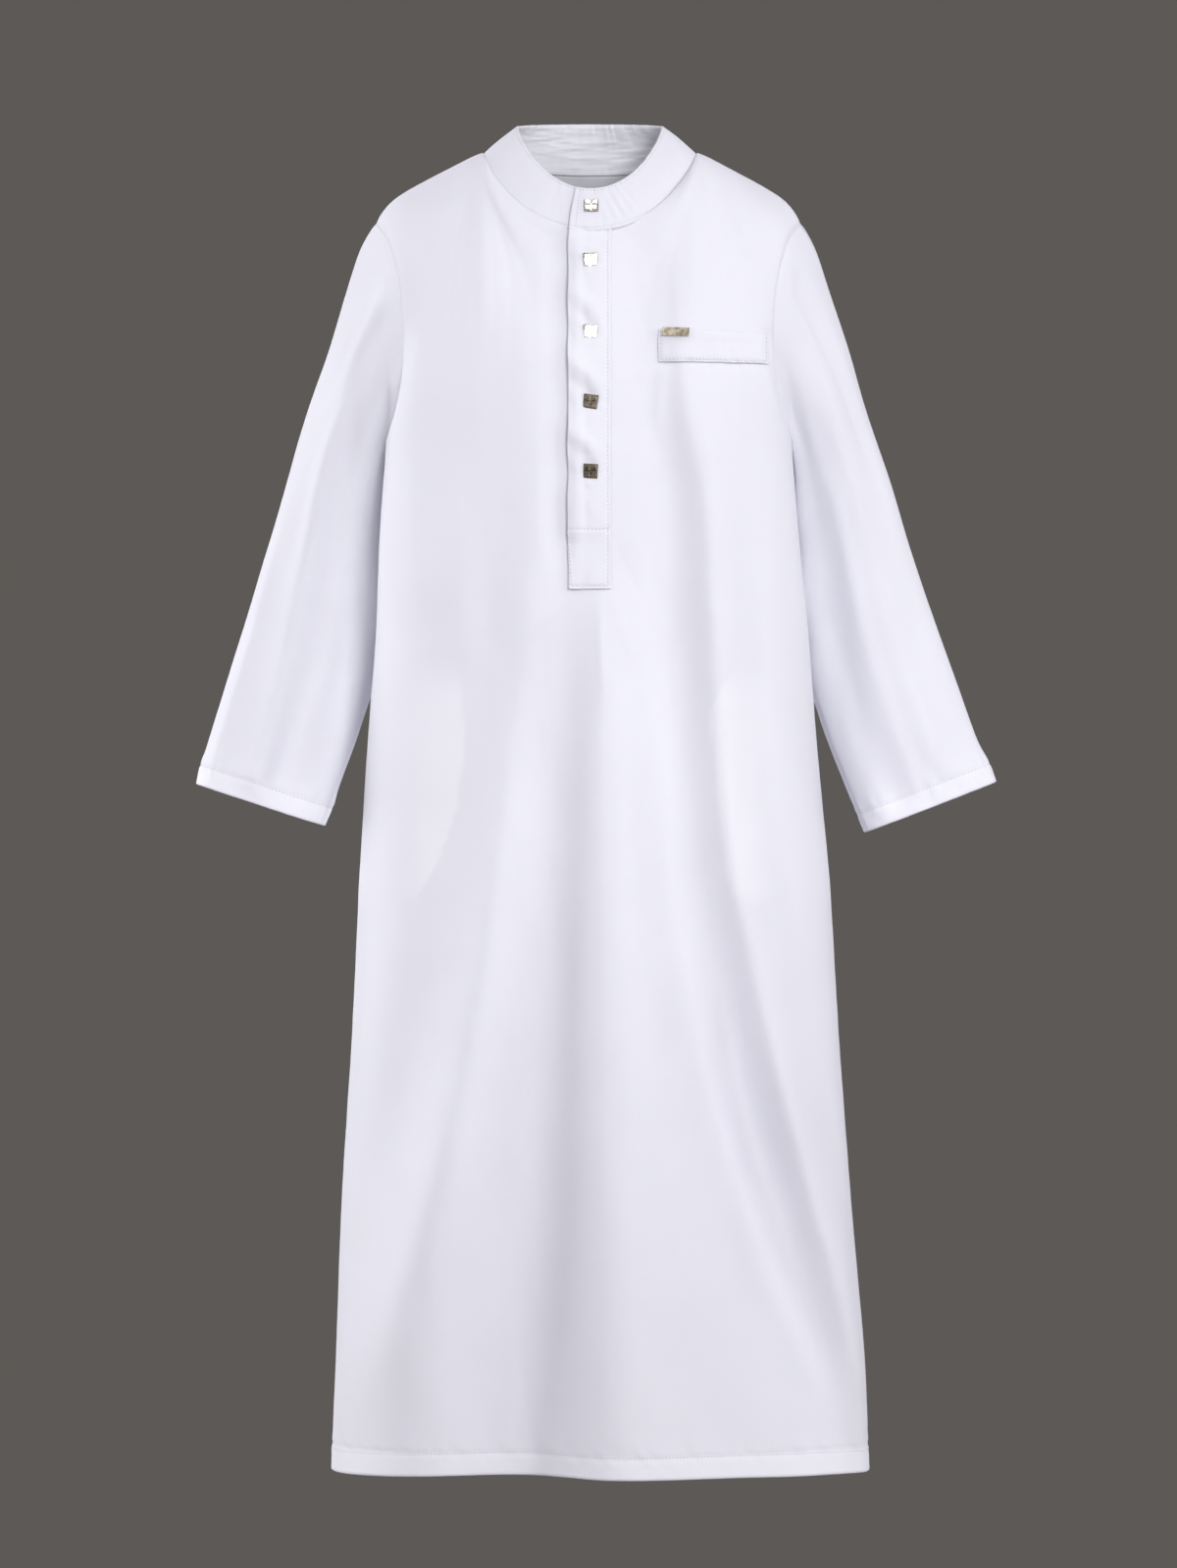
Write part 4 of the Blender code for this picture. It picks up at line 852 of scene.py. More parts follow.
CLOTH_LOOK = 0.0009
HEM_LOOK = 0.0018
HEM_EDGE = 0.0025
HEM_STITCH = 0.0165
HEM_STITCH_Z = {"front": -0.9885, "back": -0.9920}
HEM_FINE_HEIGHT, HEM_FINE_ROWS = 0.024, 14
SEAM_ROLL = 0.00022
SEAM_ROLL_AT = 0.0045
SEAM_ROLL_WIDTH = 0.0035
SEAM_ROLL_SETBACK = 0.002
STITCH_DIP, STITCH_DIP_WIDTH = 0.0005, 0.0016
HEM_PUCKERS, STRONGEST_PUCKERS = 0.0006, 0.0007
WAVE_SEEDS = {-1: 20, 1: 40}
FOLD_TOP_FADE, WAVE_TOP_FADE = 0.16, 0.10
WAVE_SIDE_FADE, DETAIL_SIDE_FADE = 0.02, 0.004
HEM_PUCKER_EDGE, HEM_WHITE_EDGE = 0.0009, 0.0030
BAG_SHOWS_EDGE = 0.0016
BAG_SHOWS_TO_X, BAG_SHOWS_FADE = 0.150, 0.030
SPACING_SAMPLES = 4000
CHEST_LENGTH = 0.24
BAND_DIP = 0.0048
WELT_PRESS = 0.0010
POCKET_GATHERS = 0.0005
BAG_PRESS = 0.0003


def seam_distance(points):
    """How far each point of a grid is from the grid's first and last column, along its row."""
    steps = np.linalg.norm(np.diff(points, axis=1), axis=-1)
    from_first = np.concatenate([np.zeros((len(points), 1)), np.cumsum(steps, axis=1)], axis=1)
    return np.minimum(from_first, from_first[:, -1:] - from_first)


def panel_steps(middle_step, side_step, skirt_step, chest_step):
    """Places across and up a panel, closer together near its middle, chest and hem."""
    spacing = np.linspace(0, 1, SPACING_SAMPLES + 1)
    x = PANEL_HALF_WIDTH * -np.cos(np.pi * spacing)
    depth = 0.1 * np.sin(np.pi * spacing)
    length = np.concatenate([[0], np.cumsum(np.hypot(np.diff(x), np.diff(depth)))])
    step = middle_step + (side_step - middle_step) * ease((np.abs(x) - 0.03) / 0.05)
    count = np.concatenate([[0], np.cumsum(np.diff(length) / step[1:])])
    columns = max(int(round(count[-1])) // 2, 4)
    half = np.interp(np.linspace(0, count[SPACING_SAMPLES // 2], columns + 1), count, spacing)
    half[np.argmin(np.abs(half - SLIT_U))] = SLIT_U
    half[np.argmin(np.abs(half - NECK_U))] = NECK_U
    across_steps = np.concatenate([half[:-1], [0.5], 1 - half[:-1][::-1]])
    hem = np.linspace(0, HEM_FINE_HEIGHT / SKIRT_HEIGHT, HEM_FINE_ROWS)
    skirt_rows = np.linspace(hem[-1], 1, int((1 - hem[-1]) * SKIRT_HEIGHT / skirt_step))
    skirt_rows[np.argmin(np.abs(skirt_rows - SLIT_FOOT_H))] = SLIT_FOOT_H
    chest_rows = np.linspace(1, 2, int(CHEST_LENGTH / chest_step))
    return across_steps, np.concatenate([hem[:-1], skirt_rows[:-1], chest_rows])


def with_hem_puckers(lift, x, above_stitches, seed):
    """Adds the dip and the puckers along the hem's stitching."""
    lift = lift - STITCH_DIP * bump(above_stitches, 0, STITCH_DIP_WIDTH)
    puckers = cloud(x / 0.006 + 3 * above_stitches / 0.02, above_stitches / 0.03, seed)
    return lift + HEM_PUCKERS * bump(above_stitches, 0.002, 0.010) * puckers


def front_details(points):
    """Small shapes of the front: beside the band, round the pocket, over the bags and along the hem."""
    x, z = points[..., 0], points[..., 2]
    lift = np.zeros(x.shape)
    # the cloth dips just outside the band's free edge and rises again toward the chest
    beside_band = ease((-0.055 - z) / 0.03) * ease((z + 0.345) / 0.06)
    beside_edge = ease((x + 0.040) / 0.022) * ease((-0.008 - x) / 0.008)
    lift -= BAND_DIP * beside_band * beside_edge * (0.8 + 0.45 * cloud(z / 0.05, 0 * z, 3))
    # the cloth runs level from the collar's side to the shoulder
    for side in (-1, 1):
        lift += CORNER_FILL * near_line(side * x, z, (0.092, 0.004), (0.034, -0.070), 0.017)
    # it is pressed down round the pocket's welt
    outside = np.maximum(
        np.abs(x - (WELT_X[0] + WELT_X[1]) / 2) - (WELT_X[1] - WELT_X[0]) / 2,
        np.maximum(z - welt_top(x), WELT_FOOT_Z - z),
    )
    lift -= WELT_PRESS * bump(outside, 0.0006, 0.0022)
    # fine pulls beside the band and round the pocket
    for start, end, width, depth in FRONT_PULLS:
        lift += depth * near_line(x, z, start, end, width)
    # small gathers under the pocket's stitched foot and along its ends
    below_pocket = bump(z, -0.1685, 0.0045) * ease((x - 0.050) / 0.006) * ease((0.137 - x) / 0.006)
    lift += POCKET_GATHERS * below_pocket * cloud(x / 0.0045, 0 * x, 11)
    # pocket bags inside press a faint edge outward
    for side in BAG_SIDES:
        edge_x, inside = bag_edge(side, z)
        lift += BAG_PRESS * inside * ease((side * x - edge_x) / 0.003)
    # puckers along the hem's stitching, strongest in one place
    above_stitches = z - HEM_STITCH_Z["front"]
    lift = with_hem_puckers(lift, x, above_stitches, 5)
    strongest = STRONGEST_PUCKERS * bump(x, -0.045, 0.030) * bump(above_stitches, 0.012, 0.012)
    return lift + strongest * cloud(x / 0.005, above_stitches / 0.02, 6)


def back_details(points):
    """The puckers of the back along its hem."""
    x, z = points[..., 0], points[..., 2]
    return with_hem_puckers(np.zeros(x.shape), x, z - HEM_STITCH_Z["back"], 7)


def soft_waves(x, z, seed):
    """Slight unevenness of hanging cloth."""
    lift = np.zeros(x.shape)
    for layer, (height, width, slant, fall, length) in enumerate(SOFT_WAVES):
        lift += height * cloud(x / width + slant * z / fall, z / length, seed + layer)
    return lift


def panel_grid(face, across_steps, up_steps):
    """The front (-1) or back (+1) with its folds."""
    u, h = np.meshgrid(across_steps, up_steps)
    base = panel_base(face, u, h)
    normals = grid_normals(base, -face)
    edge = seam_distance(base)
    fade = ease(edge / PANEL_FADE) * ease((2 - h) / FOLD_TOP_FADE)
    x, z = base[..., 0], base[..., 2]
    forward = face * long_fold_lift(FRONT_LONG_FOLDS if face < 0 else BACK_LONG_FOLDS, x, z) * fade
    lift = fold_lift(FRONT_FOLDS if face < 0 else BACK_FOLDS, x, z) * fade
    waves = soft_waves(x, z, WAVE_SEEDS[face])
    lift += waves * ease(edge / WAVE_SIDE_FADE) * ease((2 - h) / WAVE_TOP_FADE)
    details = front_details if face < 0 else back_details
    lift += details(base) * ease(edge / DETAIL_SIDE_FADE)
    roll = SEAM_ROLL * bump(edge, SEAM_ROLL_AT, SEAM_ROLL_WIDTH)
    lift += roll * (1 + 0.5 * cloud(z / 0.012, 0 * z, 9)) * ease(edge / SEAM_ROLL_SETBACK)
    points = base + normals * lift[..., None] + forward[..., None] * np.array([0, 1, 0])
    return Grid(across_steps, up_steps, points, grid_normals(points, -face))


@functools.cache
def front_grid():
    """The front's grid, made once."""
    steps = panel_steps(middle_step=0.0019, side_step=0.0033, skirt_step=0.0058, chest_step=0.0031)
    return panel_grid(-1, *steps)


@functools.cache
def back_grid():
    """The back's grid, made once."""
    steps = panel_steps(middle_step=0.0034, side_step=0.0046, skirt_step=0.0075, chest_step=0.0042)
    return panel_grid(1, *steps)


def turned_thickness(height, stitch_height):
    """The cloth's thickness at a height above an edge: it is doubled below the edge's stitching."""
    return HEM_LOOK + (CLOTH_LOOK - HEM_LOOK) * ease((height - stitch_height) / HEM_EDGE)


def above_hem(grid):
    """How far each point of a panel lies above its lower edge."""
    return (grid.up * SKIRT_HEIGHT)[:, None] + 0 * grid.points[..., 0]


def hem_doubled(grid):
    """How far the cloth looks doubled. The puckers along the stitching break up the border."""
    height = above_hem(grid)
    border = HEM_STITCH + HEM_PUCKER_EDGE * cloud(grid.points[..., 0] / 0.005, 0 * height, 77)
    return ease((border - height) / HEM_WHITE_EDGE + 0.5)


def hem_rows(grid):
    """The line of the hem's stitches."""
    row_at = np.interp(HEM_STITCH / SKIRT_HEIGHT, grid.up, np.arange(len(grid.up)))
    row, part = int(row_at), row_at - int(row_at)
    points = grid.points[row] * (1 - part) + grid.points[row + 1] * part
    normals = unit(grid.normals[row] * (1 - part) + grid.normals[row + 1] * part)
    return [(points[1:-1], normals[1:-1])]


def make_front(front):
    """The front as a closed piece, open at the slit and lighter over the hem and the pocket bags."""
    u, h = np.meshgrid(front.across, front.up)
    middle_u = (u[:-1, :-1] + u[:-1, 1:]) / 2
    middle_h = (h[:-1, :-1] + h[1:, :-1]) / 2
    missing = (middle_u > SLIT_U) & (middle_u < 1 - SLIT_U) & (middle_h > SLIT_FOOT_H)
    thickness = turned_thickness(above_hem(front), HEM_STITCH)
    made = shell("front_cloth", front.points, front.normals, thickness, missing=missing)
    x, z = front.points[..., 0], front.points[..., 2]
    shows = np.zeros(x.shape)
    for side in BAG_SIDES:
        edge_x, inside = bag_edge(side, z)
        shown = inside * ease((side * x - edge_x) / BAG_SHOWS_EDGE + 0.5)
        shows += shown * ease((BAG_SHOWS_TO_X - side * x) / BAG_SHOWS_FADE)
    write_mask(made, "doubled", np.maximum(shows, hem_doubled(front)))
    return made[0]


def make_back(back):
    """The back as a closed piece, lighter over the hem."""
    made = shell("back_cloth", back.points, back.normals, turned_thickness(above_hem(back), HEM_STITCH))
    write_mask(made, "doubled", hem_doubled(back))
    return made[0]


# ---- The sleeves

SLEEVE_ROWS = 150
SLEEVE_SAMPLES = 400
SLEEVE_COLUMNS_ROUND = 112
CUFF_STITCH = 0.0145
CUFF_WHITENESS = {-1: 1.0, 1: 0.55}
CUFF_WHITE_EDGE = 0.0040
CUFF_PUCKERS = 0.0011
SLEEVE_FOLD_FADE = 0.15
SLEEVE_TOP_FADE = 0.030
SLEEVE_WAVES, SLEEVE_RIPPLES, SLEEVE_CREASES = 0.0010, 0.0005, 0.0008
UNDERARM_ROLL = 0.0007


def sleeve_place_steps(side):
    """Places down the sleeve, closer together at the armhole seam and at the cuff."""
    share = np.linspace(0, 1, SLEEVE_ROWS)
    last = len(SLEEVE_SECTIONS[side]) - 1
    even = np.linspace(0, last, SLEEVE_SAMPLES)
    rows = [(row[1] + row[3]) / 2 for row in SLEEVE_SECTIONS[side]]
    length = np.interp(even, np.arange(last + 1), np.array(rows[0]) - np.array(rows))
    target = length[-1] * (share - 0.5 * np.sin(2 * np.pi * share) / (2 * np.pi))
    return np.interp(target, length, even)


def outward_normals(points):
    """Normals of a closed sleeve, facing away from its middle."""
    normals = grid_normals(points, 1, round_rows=True)
    centre = points.mean(axis=1, keepdims=True)
    return normals * np.sign(np.sum((points - centre) * normals))


def round_offset(share, middle):
    """How far round the sleeve a place lies from another, the shorter way."""
    return (share - middle + 0.5) % 1.0 - 0.5


def sleeve_grid(side):
    """A sleeve's points and normals, its thickness, and how far each point lies from the cuff's edge."""
    round_shares = np.arange(SLEEVE_COLUMNS_ROUND) / SLEEVE_COLUMNS_ROUND
    share, place = np.meshgrid(round_shares, sleeve_place_steps(side))
    base = sleeve_base(side, share, place)
    along = place / (len(SLEEVE_SECTIONS[side]) - 1)
    steps = np.linalg.norm(np.diff(base, axis=0), axis=-1)
    down = np.concatenate([np.zeros((1, share.shape[1])), np.cumsum(steps, axis=0)])
    from_cuff = down[-1:] - down
    lift = np.zeros(share.shape)
    for head_share, cuff_share, start, end, half_width, depth in SLEEVE_FOLDS[side]:
        off = round_offset(share, head_share + (cuff_share - head_share) * along)
        grow = ease((along - start) / SLEEVE_FOLD_FADE) * ease((end - along) / SLEEVE_FOLD_FADE + 0.3)
        lift += depth * grow * bump(off, 0, half_width)
    # slight unevenness, and fine level creases on the upper part
    around = 0.5 + 0.5 * np.cos(2 * np.pi * share)
    lift += SLEEVE_WAVES * cloud(share * 5 + 0.3 * down / 0.05, down / 0.090, 60 + side)
    lift += SLEEVE_RIPPLES * cloud(np.cos(2 * np.pi * share) * 4, down / 0.035, 63 + side) * (0.4 + around)
    creases = np.sin(down / 0.0105 + 4 * share)
    lift += SLEEVE_CREASES * bump(down, 0.16, 0.09) * creases * bump(share, 0.05, 0.14)
    lift *= ease(down / SLEEVE_TOP_FADE)
    # the rolls beside the armhole seam and the underarm seam
    roll = SEAM_ROLL * bump(down, SEAM_ROLL_AT, SEAM_ROLL_WIDTH)
    lift += roll * (1 + 0.6 * cloud(share * 60, 0 * share, 70 + side))
    underarm = round_offset(share, 0)
    seam = bump(underarm, 0.020, 0.006) - bump(underarm, 0.034, 0.008)
    lift += UNDERARM_ROLL * ease(down / SLEEVE_TOP_FADE) * seam
    # the cuff's stitching and the puckers along it
    lift -= STITCH_DIP * bump(from_cuff, CUFF_STITCH, STITCH_DIP_WIDTH)
    puckers = cloud(share * 56, from_cuff / 0.02, 73 + side)
    lift += CUFF_PUCKERS * bump(from_cuff, CUFF_STITCH, 0.011) * puckers
    points = base + outward_normals(base) * lift[..., None]
    return points, outward_normals(points), turned_thickness(from_cuff, CUFF_STITCH), from_cuff


def make_sleeve(side, name):
    """A sleeve as a closed piece, and the line of its cuff's stitches."""
    points, normals, thickness, from_cuff = sleeve_grid(side)
    made = shell(name, points, normals, thickness, round_rows=True)
    turned_in = ease((CUFF_STITCH - from_cuff) / CUFF_WHITE_EDGE + 0.5)
    write_mask(made, "doubled", CUFF_WHITENESS[side] * turned_in)
    line = np.stack([interpolate_rows(values, from_cuff, CUFF_STITCH) for values in (points, normals)])
    closed_line = np.concatenate([line, line[:, :1]], axis=1)
    return made[0], (closed_line[0], closed_line[1])


def interpolate_rows(values, distance, wanted):
    """The values of each column where its distance has a given size."""
    found = []
    for column_at in range(values.shape[1]):
        order = np.argsort(distance[:, column_at])
        found.append(at_distances(values[order, column_at], distance[order, column_at], wanted))
    return np.array(found)


# ---- The collar

COLLAR_LOOK = 0.0018
COLLAR_ROLL = 0.0011
COLLAR_STITCH_DIP = 0.00035
COLLAR_WAVES, COLLAR_CRINKLES, BUTTON_CRINKLES = 0.00050, 0.00032, 0.00070
LINING_FULLNESS, LINING_WRINKLES = 0.00055, 0.00030
COLLAR_RISE_STEPS = 56
COLLAR_STITCH_RISES = (0.055, 0.945)
COLLAR_TURN_STEP = math.radians(1.15)


def collar_ends():
    """Where the collar's upper end and its under end lie, as turns round the neck."""
    over, under = neck_turn(across(-COLLAR_END_X)), neck_turn(across(COLLAR_END_X))
    return float(over), float(under) + 2 * np.pi


def collar_points(turn, rise):
    """The collar's smooth surface, and the level direction away from the neck."""
    foot, edge = neck_base(turn), collar_edge(turn)
    away = np.stack([np.sin(turn), -np.cos(turn), np.zeros_like(turn)], -1)
    belly = COLLAR_BELLY * np.sin(np.pi * rise)
    under = collar_ends()[1]
    lap = COLLAR_LAP * (1 - ease((turn - (under - 2 * np.pi) - LAP_MARGIN) / COLLAR_LAP_TURN))
    points = foot + (edge - foot) * rise[..., None] + away * (belly + lap)[..., None]
    return points, away


@functools.cache
def collar_surface():
    """The collar's outer surface, with its stitched edges and slight waves."""
    over, under = collar_ends()
    turns = np.linspace(over, under, int((under - over) / COLLAR_TURN_STEP))
    turn, rise = np.meshgrid(turns, np.linspace(0, 1, COLLAR_RISE_STEPS))
    points, away = collar_points(turn, rise)
    # stitched edges, slight waves between them and a crinkle beside the top button
    lift = -COLLAR_STITCH_DIP * (bump(rise, 0.045, 0.020) + bump(rise, 0.950, 0.020))
    lift += COLLAR_WAVES * np.sin(np.pi * rise) * cloud(turn * 7, rise * 1.2, 81)
    at_edges = 0.4 + bump(rise, 0.0, 0.25) + bump(rise, 1.0, 0.25)
    lift += COLLAR_CRINKLES * cloud(turn * 26, rise * 3.0, 82) * at_edges
    beside_button = bump((turn + 2 * np.pi * (turn > np.pi)) % (2 * np.pi), 0.33, 0.16)
    lift += BUTTON_CRINKLES * beside_button * np.sin(turn * 70 + rise * 9) * np.sin(np.pi * rise)
    points = points + away * lift[..., None]
    normals = grid_normals(points)
    return turn, rise, points, normals * np.sign(np.sum(normals * away))


def make_collar():
    """The collar as a closed piece, and the lines of its stitching."""
    turn, rise, points, normals = collar_surface()
    # the lining inside is fuller than the outer cloth, so it lies in fine level wrinkles
    fullness = LINING_FULLNESS * cloud(turn * 3.2 + rise * 0.8, rise * 9, 84)
    fullness += LINING_WRINKLES * cloud(turn * 7, rise * 20 + turn, 85)
    thickness = COLLAR_LOOK + fullness * np.sin(np.pi * rise) ** 0.4
    thickness += COLLAR_ROLL * bump(rise, 0.012, 0.028) * ease(np.cos(turn) * 1.5)
    made = stiff_piece("collar_band", points, normals, thickness)
    rows = []
    for height in COLLAR_STITCH_RISES:
        row = int(round(height * (COLLAR_RISE_STEPS - 1)))
        rows.append((points[row, 2:-2], normals[row, 2:-2]))
    for column_at in (3, -4):
        rows.append((points[2:-2, column_at], normals[2:-2, column_at]))
    return made, rows


# ---- Bands, pocket and bags laid on the front

BAND_LOOK = 0.0011
LINING_GAP = 0.0004
BAG_GAP = 0.0016
BAG_WAVES = 0.0005
BAND_EDGE_WAVER = 0.0010
BAND_LIFT, BAND_PUFF, BAND_PUFF_WIDTH = 0.0004, 0.0044, 0.42
BAND_ROUNDING, BAND_WAVES, BAND_PUCKERS = 0.0009, 0.0005, 0.00025
BAND_STITCH_DIP, BAND_CROSS_DIP = 0.00060, 0.00040
PRESSED_HALF_HEIGHT, PRESSED_SHARE = 0.0120, 0.55
BUTTON_RING, BUTTON_PRESS, BUTTON_GATHERS = 0.0003, 0.0004, 0.00013
WELT_LIFT, WELT_OPENING = 0.0008, 0.0012
WELT_WAVES, WELT_PUCKERS, WELT_STITCH_DIP = 0.0004, 0.0003, 0.00035
BAND_COLUMNS_ROWS = (42, 300)
BAND_CROSS_STITCH_Z = -0.2916
BAND_FOOT_STITCH_Z = BAND_FOOT_Z["over"] + 0.0016
LINING_COLUMNS_ROWS = (20, 120)
WELT_COLUMNS_ROWS = (90, 30)
BAG_ROWS_COLUMNS = (70, 26)
BAG_LOOK = 0.0006


def upright_patch(front, sides, foot, top, size):
    """A patch on the front between two upright edges: shares across and up, heights, points and normals.

    foot and top give the patch's lowest and highest z for each x; size is its number of columns and rows.
    """
    (left, right), (columns, rows) = sides, size
    share_x, share_z = np.meshgrid(np.linspace(0, 1, columns), np.linspace(0, 1, rows))
    x = left + (right - left) * share_x
    z = foot(x) + (top(x) - foot(x)) * share_z
    points, normals = on_front(front, x, z)
    return share_x, share_z, x, z, points, unit(normals)


def level_at(z):
    """An edge that lies at one height."""
    return lambda x: z + 0 * x


def under_neckline(x):
    """The height where the front band ends, just under the neckline."""
    return neckline_z(x) - 0.0006


def smooth_rows(values, passes):
    """Values averaged with their neighbours, so that a stiff piece bridges the cloth's small creases."""
    for _ in range(passes):
        values = np.concatenate([values[:1], (values[:-2] + 2 * values[1:-1] + values[2:]) / 4, values[-1:]])
        turned = values.swapaxes(0, 1)
        turned = np.concatenate([turned[:1], (turned[:-2] + 2 * turned[1:-1] + turned[2:]) / 4, turned[-1:]])
        values = turned.swapaxes(0, 1)
    return values


@functools.cache
def placket_surface():
    """The front band's outer surface: its stitched edge, its foot box and its pressed places."""
    share_x, _, x, z, points, normals = upright_patch(
        front_grid(), BAND_X, level_at(BAND_FOOT_Z["over"]), under_neckline, BAND_COLUMNS_ROWS
    )
    edge_x = BAND_EDGE_WAVER * np.sin(z / 0.021) * np.sin(z / 0.0083 + 1.0)
    free = 1 - share_x
    pressed = sum(bump(z, height, PRESSED_HALF_HEIGHT) for height, _ in BUTTONS)
    pressed = np.clip(pressed + ease((SLIT_FOOT_Z - z) / 0.012) + ease((z + 0.072) / 0.010), 0, 1)
    lift = BAND_LIFT + BAND_PUFF * (1 - ease(share_x / BAND_PUFF_WIDTH)) * (1 - PRESSED_SHARE * pressed)
    lift += BAND_ROUNDING * np.sin(np.pi * share_x) * (1 - pressed)
    lift += BAND_WAVES * cloud(share_x * 1.4, z / 0.030, 91) * np.sin(np.pi * share_x) ** 0.6
    for start, end, width, depth in BAND_CREASES:
        lift += depth * near_line(x, z, start, end, width)
    for height, _ in BUTTONS:
        around = np.hypot(x - BUTTON_X, z - height)
        lift += BUTTON_RING * bump(around, 0.0095, 0.0028) - BUTTON_PRESS * bump(around, 0, 0.0065)
        turn = np.arctan2(z - height, x - BUTTON_X)
        lift += BUTTON_GATHERS * bump(around, 0.0100, 0.0030) * np.sin(turn * 7 + height * 200)
    stitched = bump(share_x, 0.935, 0.020) + bump(z, BAND_FOOT_STITCH_Z, 0.0010)
    lift -= BAND_STITCH_DIP * stitched
    lift -= BAND_CROSS_DIP * bump(z, BAND_CROSS_STITCH_Z, 0.0011)
    lift += BAND_PUCKERS * bump(share_x, 0.90, 0.06) * cloud(z / 0.0035, 0 * z, 93)
    low = smooth_rows(points, 10)
    low[:, -1], low[0] = points[:, -1], points[0]
    low = low * 0.8 + points * 0.2
    placed = low + normals * (lift + BAND_LOOK)[..., None]
    placed[..., 0] += edge_x * free**3 * 0.5
    return placed, grid_normals(placed), z


def make_placket():
    """The band as a closed piece, and the lines of its stitching."""
    placed, outward, z = placket_surface()
    made = stiff_piece("placket_band", placed, outward, BAND_LOOK)
    foot_row = int(np.argmin(np.abs(z[:, 0] - BAND_FOOT_STITCH_Z)))
    cross_row = int(np.argmin(np.abs(z[:, 20] - BAND_CROSS_STITCH_Z)))
    fixed_edge, free_edge = 38, 2
    lines = (
        (slice(4, None), fixed_edge),
        (foot_row, slice(free_edge, fixed_edge + 1)),
        (cross_row, slice(free_edge, fixed_edge + 1)),
        (slice(foot_row, cross_row), free_edge),
    )
    return made, [(placed[line], outward[line]) for line in lines]


def make_under_band(front):
    """The band's lining, inside the front."""
    *_, points, normals = upright_patch(
        front, BAND_X, level_at(BAND_FOOT_Z["under"]), under_neckline, LINING_COLUMNS_ROWS
    )
    return stiff_piece("placket_lining", points - normals * (CLOTH_LOOK + LINING_GAP), normals, BAND_LOOK)


def make_welt(front):
    """The pocket's welt as a closed piece, and the lines of its stitching."""
    share_x, share_z, _, _, points, normals = upright_patch(
        front, WELT_X, level_at(WELT_FOOT_Z), welt_top, WELT_COLUMNS_ROWS
    )
    top_open = ease((share_z - 0.55) / 0.45) * np.sin(np.pi * share_x) ** 0.5
    lift = WELT_LIFT + WELT_OPENING * top_open
    lift += WELT_WAVES * cloud(share_x * 7, share_z * 1.3, 101) * np.sin(np.pi * share_x)
    lift += WELT_PUCKERS * cloud(share_x * 22, share_z * 2.2, 102) * (1 - share_z)
    stitched = bump(share_x, 0.018, 0.010) + bump(share_x, 0.982, 0.010) + bump(share_z, 0.055, 0.035)
    lift -= WELT_STITCH_DIP * stitched
    low = smooth_rows(points, 4)
    low[0], low[:, 0], low[:, -1] = points[0], points[:, 0], points[:, -1]
    placed = low + normals * (lift + BAND_LOOK)[..., None]
    outward = grid_normals(placed)
    made = stiff_piece("chest_welt", placed, outward, BAND_LOOK)
    lines = ((slice(1, -1), 2), (slice(1, -1), -3), (2, slice(2, -2)))
    return made, [(placed[line], outward[line]) for line in lines]


def make_bag(front, side, name):
    """A side pocket's bag, hanging inside the front."""
    heights = column(BAG_EDGES, BAG_COLUMNS, "height")
    rows, columns = BAG_ROWS_COLUMNS
    share_z, share_x = np.meshgrid(np.linspace(0, 1, rows), np.linspace(0, 1, columns), indexing="ij")
    z = heights[-1] + (heights[0] - heights[-1]) * share_z
    inner = bag_edge(side, z)[0]
    x = side * (inner + (BAG_SIDE_X - inner) * share_x)
    if side < 0:
        x, z = x[:, ::-1], z[:, ::-1]
    points, normals = on_front(front, x, z)
    lift = -CLOTH_LOOK - BAG_GAP + BAG_WAVES * cloud(x / 0.02, z / 0.03, 111)
    placed = points + normals * lift[..., None]
    return stiff_piece(name, placed, grid_normals(placed), BAG_LOOK)


# ---- Buttons and the pocket's bar

CORNERS = ((-1, -1), (1, -1), (1, 1), (-1, 1))
BEVEL_SEGMENTS = 3
# how many buttons from the collar down take the lit metal colour; the ones below take a darker copy of it,
# painted shade
LIT_COPY_BUTTONS = 3
BUTTON_RISE = 0.0026
BUTTON_GAP = 0.0002
# how far each button leans on its thread, from the collar down
BUTTON_LEANS = ((0.00, 0.00), (0.065, -0.01), (0.050, -0.02), (-0.03, -0.01), (-0.05, -0.02))
BAR_LIFT = 0.0026
BAR_BEVEL, BAR_BEVEL_ANGLE = 0.00028, 25
BUTTON_BEVEL_SHARE, BUTTON_BEVEL_ANGLE = 0.022, 14


def add_stack(mesh, middle, levels):
    """Adds a closed solid to a mesh, as rectangles one above another: half width, half depth and height."""
    rings = [
        [mesh.verts.new((middle[0] + half_x * sx, middle[1] + half_y * sy, z)) for sx, sy in CORNERS]
        for half_x, half_y, z in levels
    ]
    mesh.faces.new(reversed(rings[0]))
    for low, high in zip(rings, rings[1:]):
        for i in range(4):
            mesh.faces.new((low[i], low[(i + 1) % 4], high[(i + 1) % 4], high[i]))
    mesh.faces.new(rings[-1])


def bevelled_piece(name, mesh, width, least_angle, hardened):
    """Turns a mesh that is being built into an object with rounded edges."""
    data = bpy.data.meshes.new(name)
    mesh.to_mesh(data)
    mesh.free()
    for polygon in data.polygons:
        polygon.use_smooth = True
    obj = add_to_scene(name, data)
    bevel = obj.modifiers.new("edges", "BEVEL")
    bevel.width, bevel.segments = width, BEVEL_SEGMENTS
    bevel.limit_method, bevel.angle_limit = "ANGLE", math.radians(least_angle)
    bevel.harden_normals = hardened
    return obj


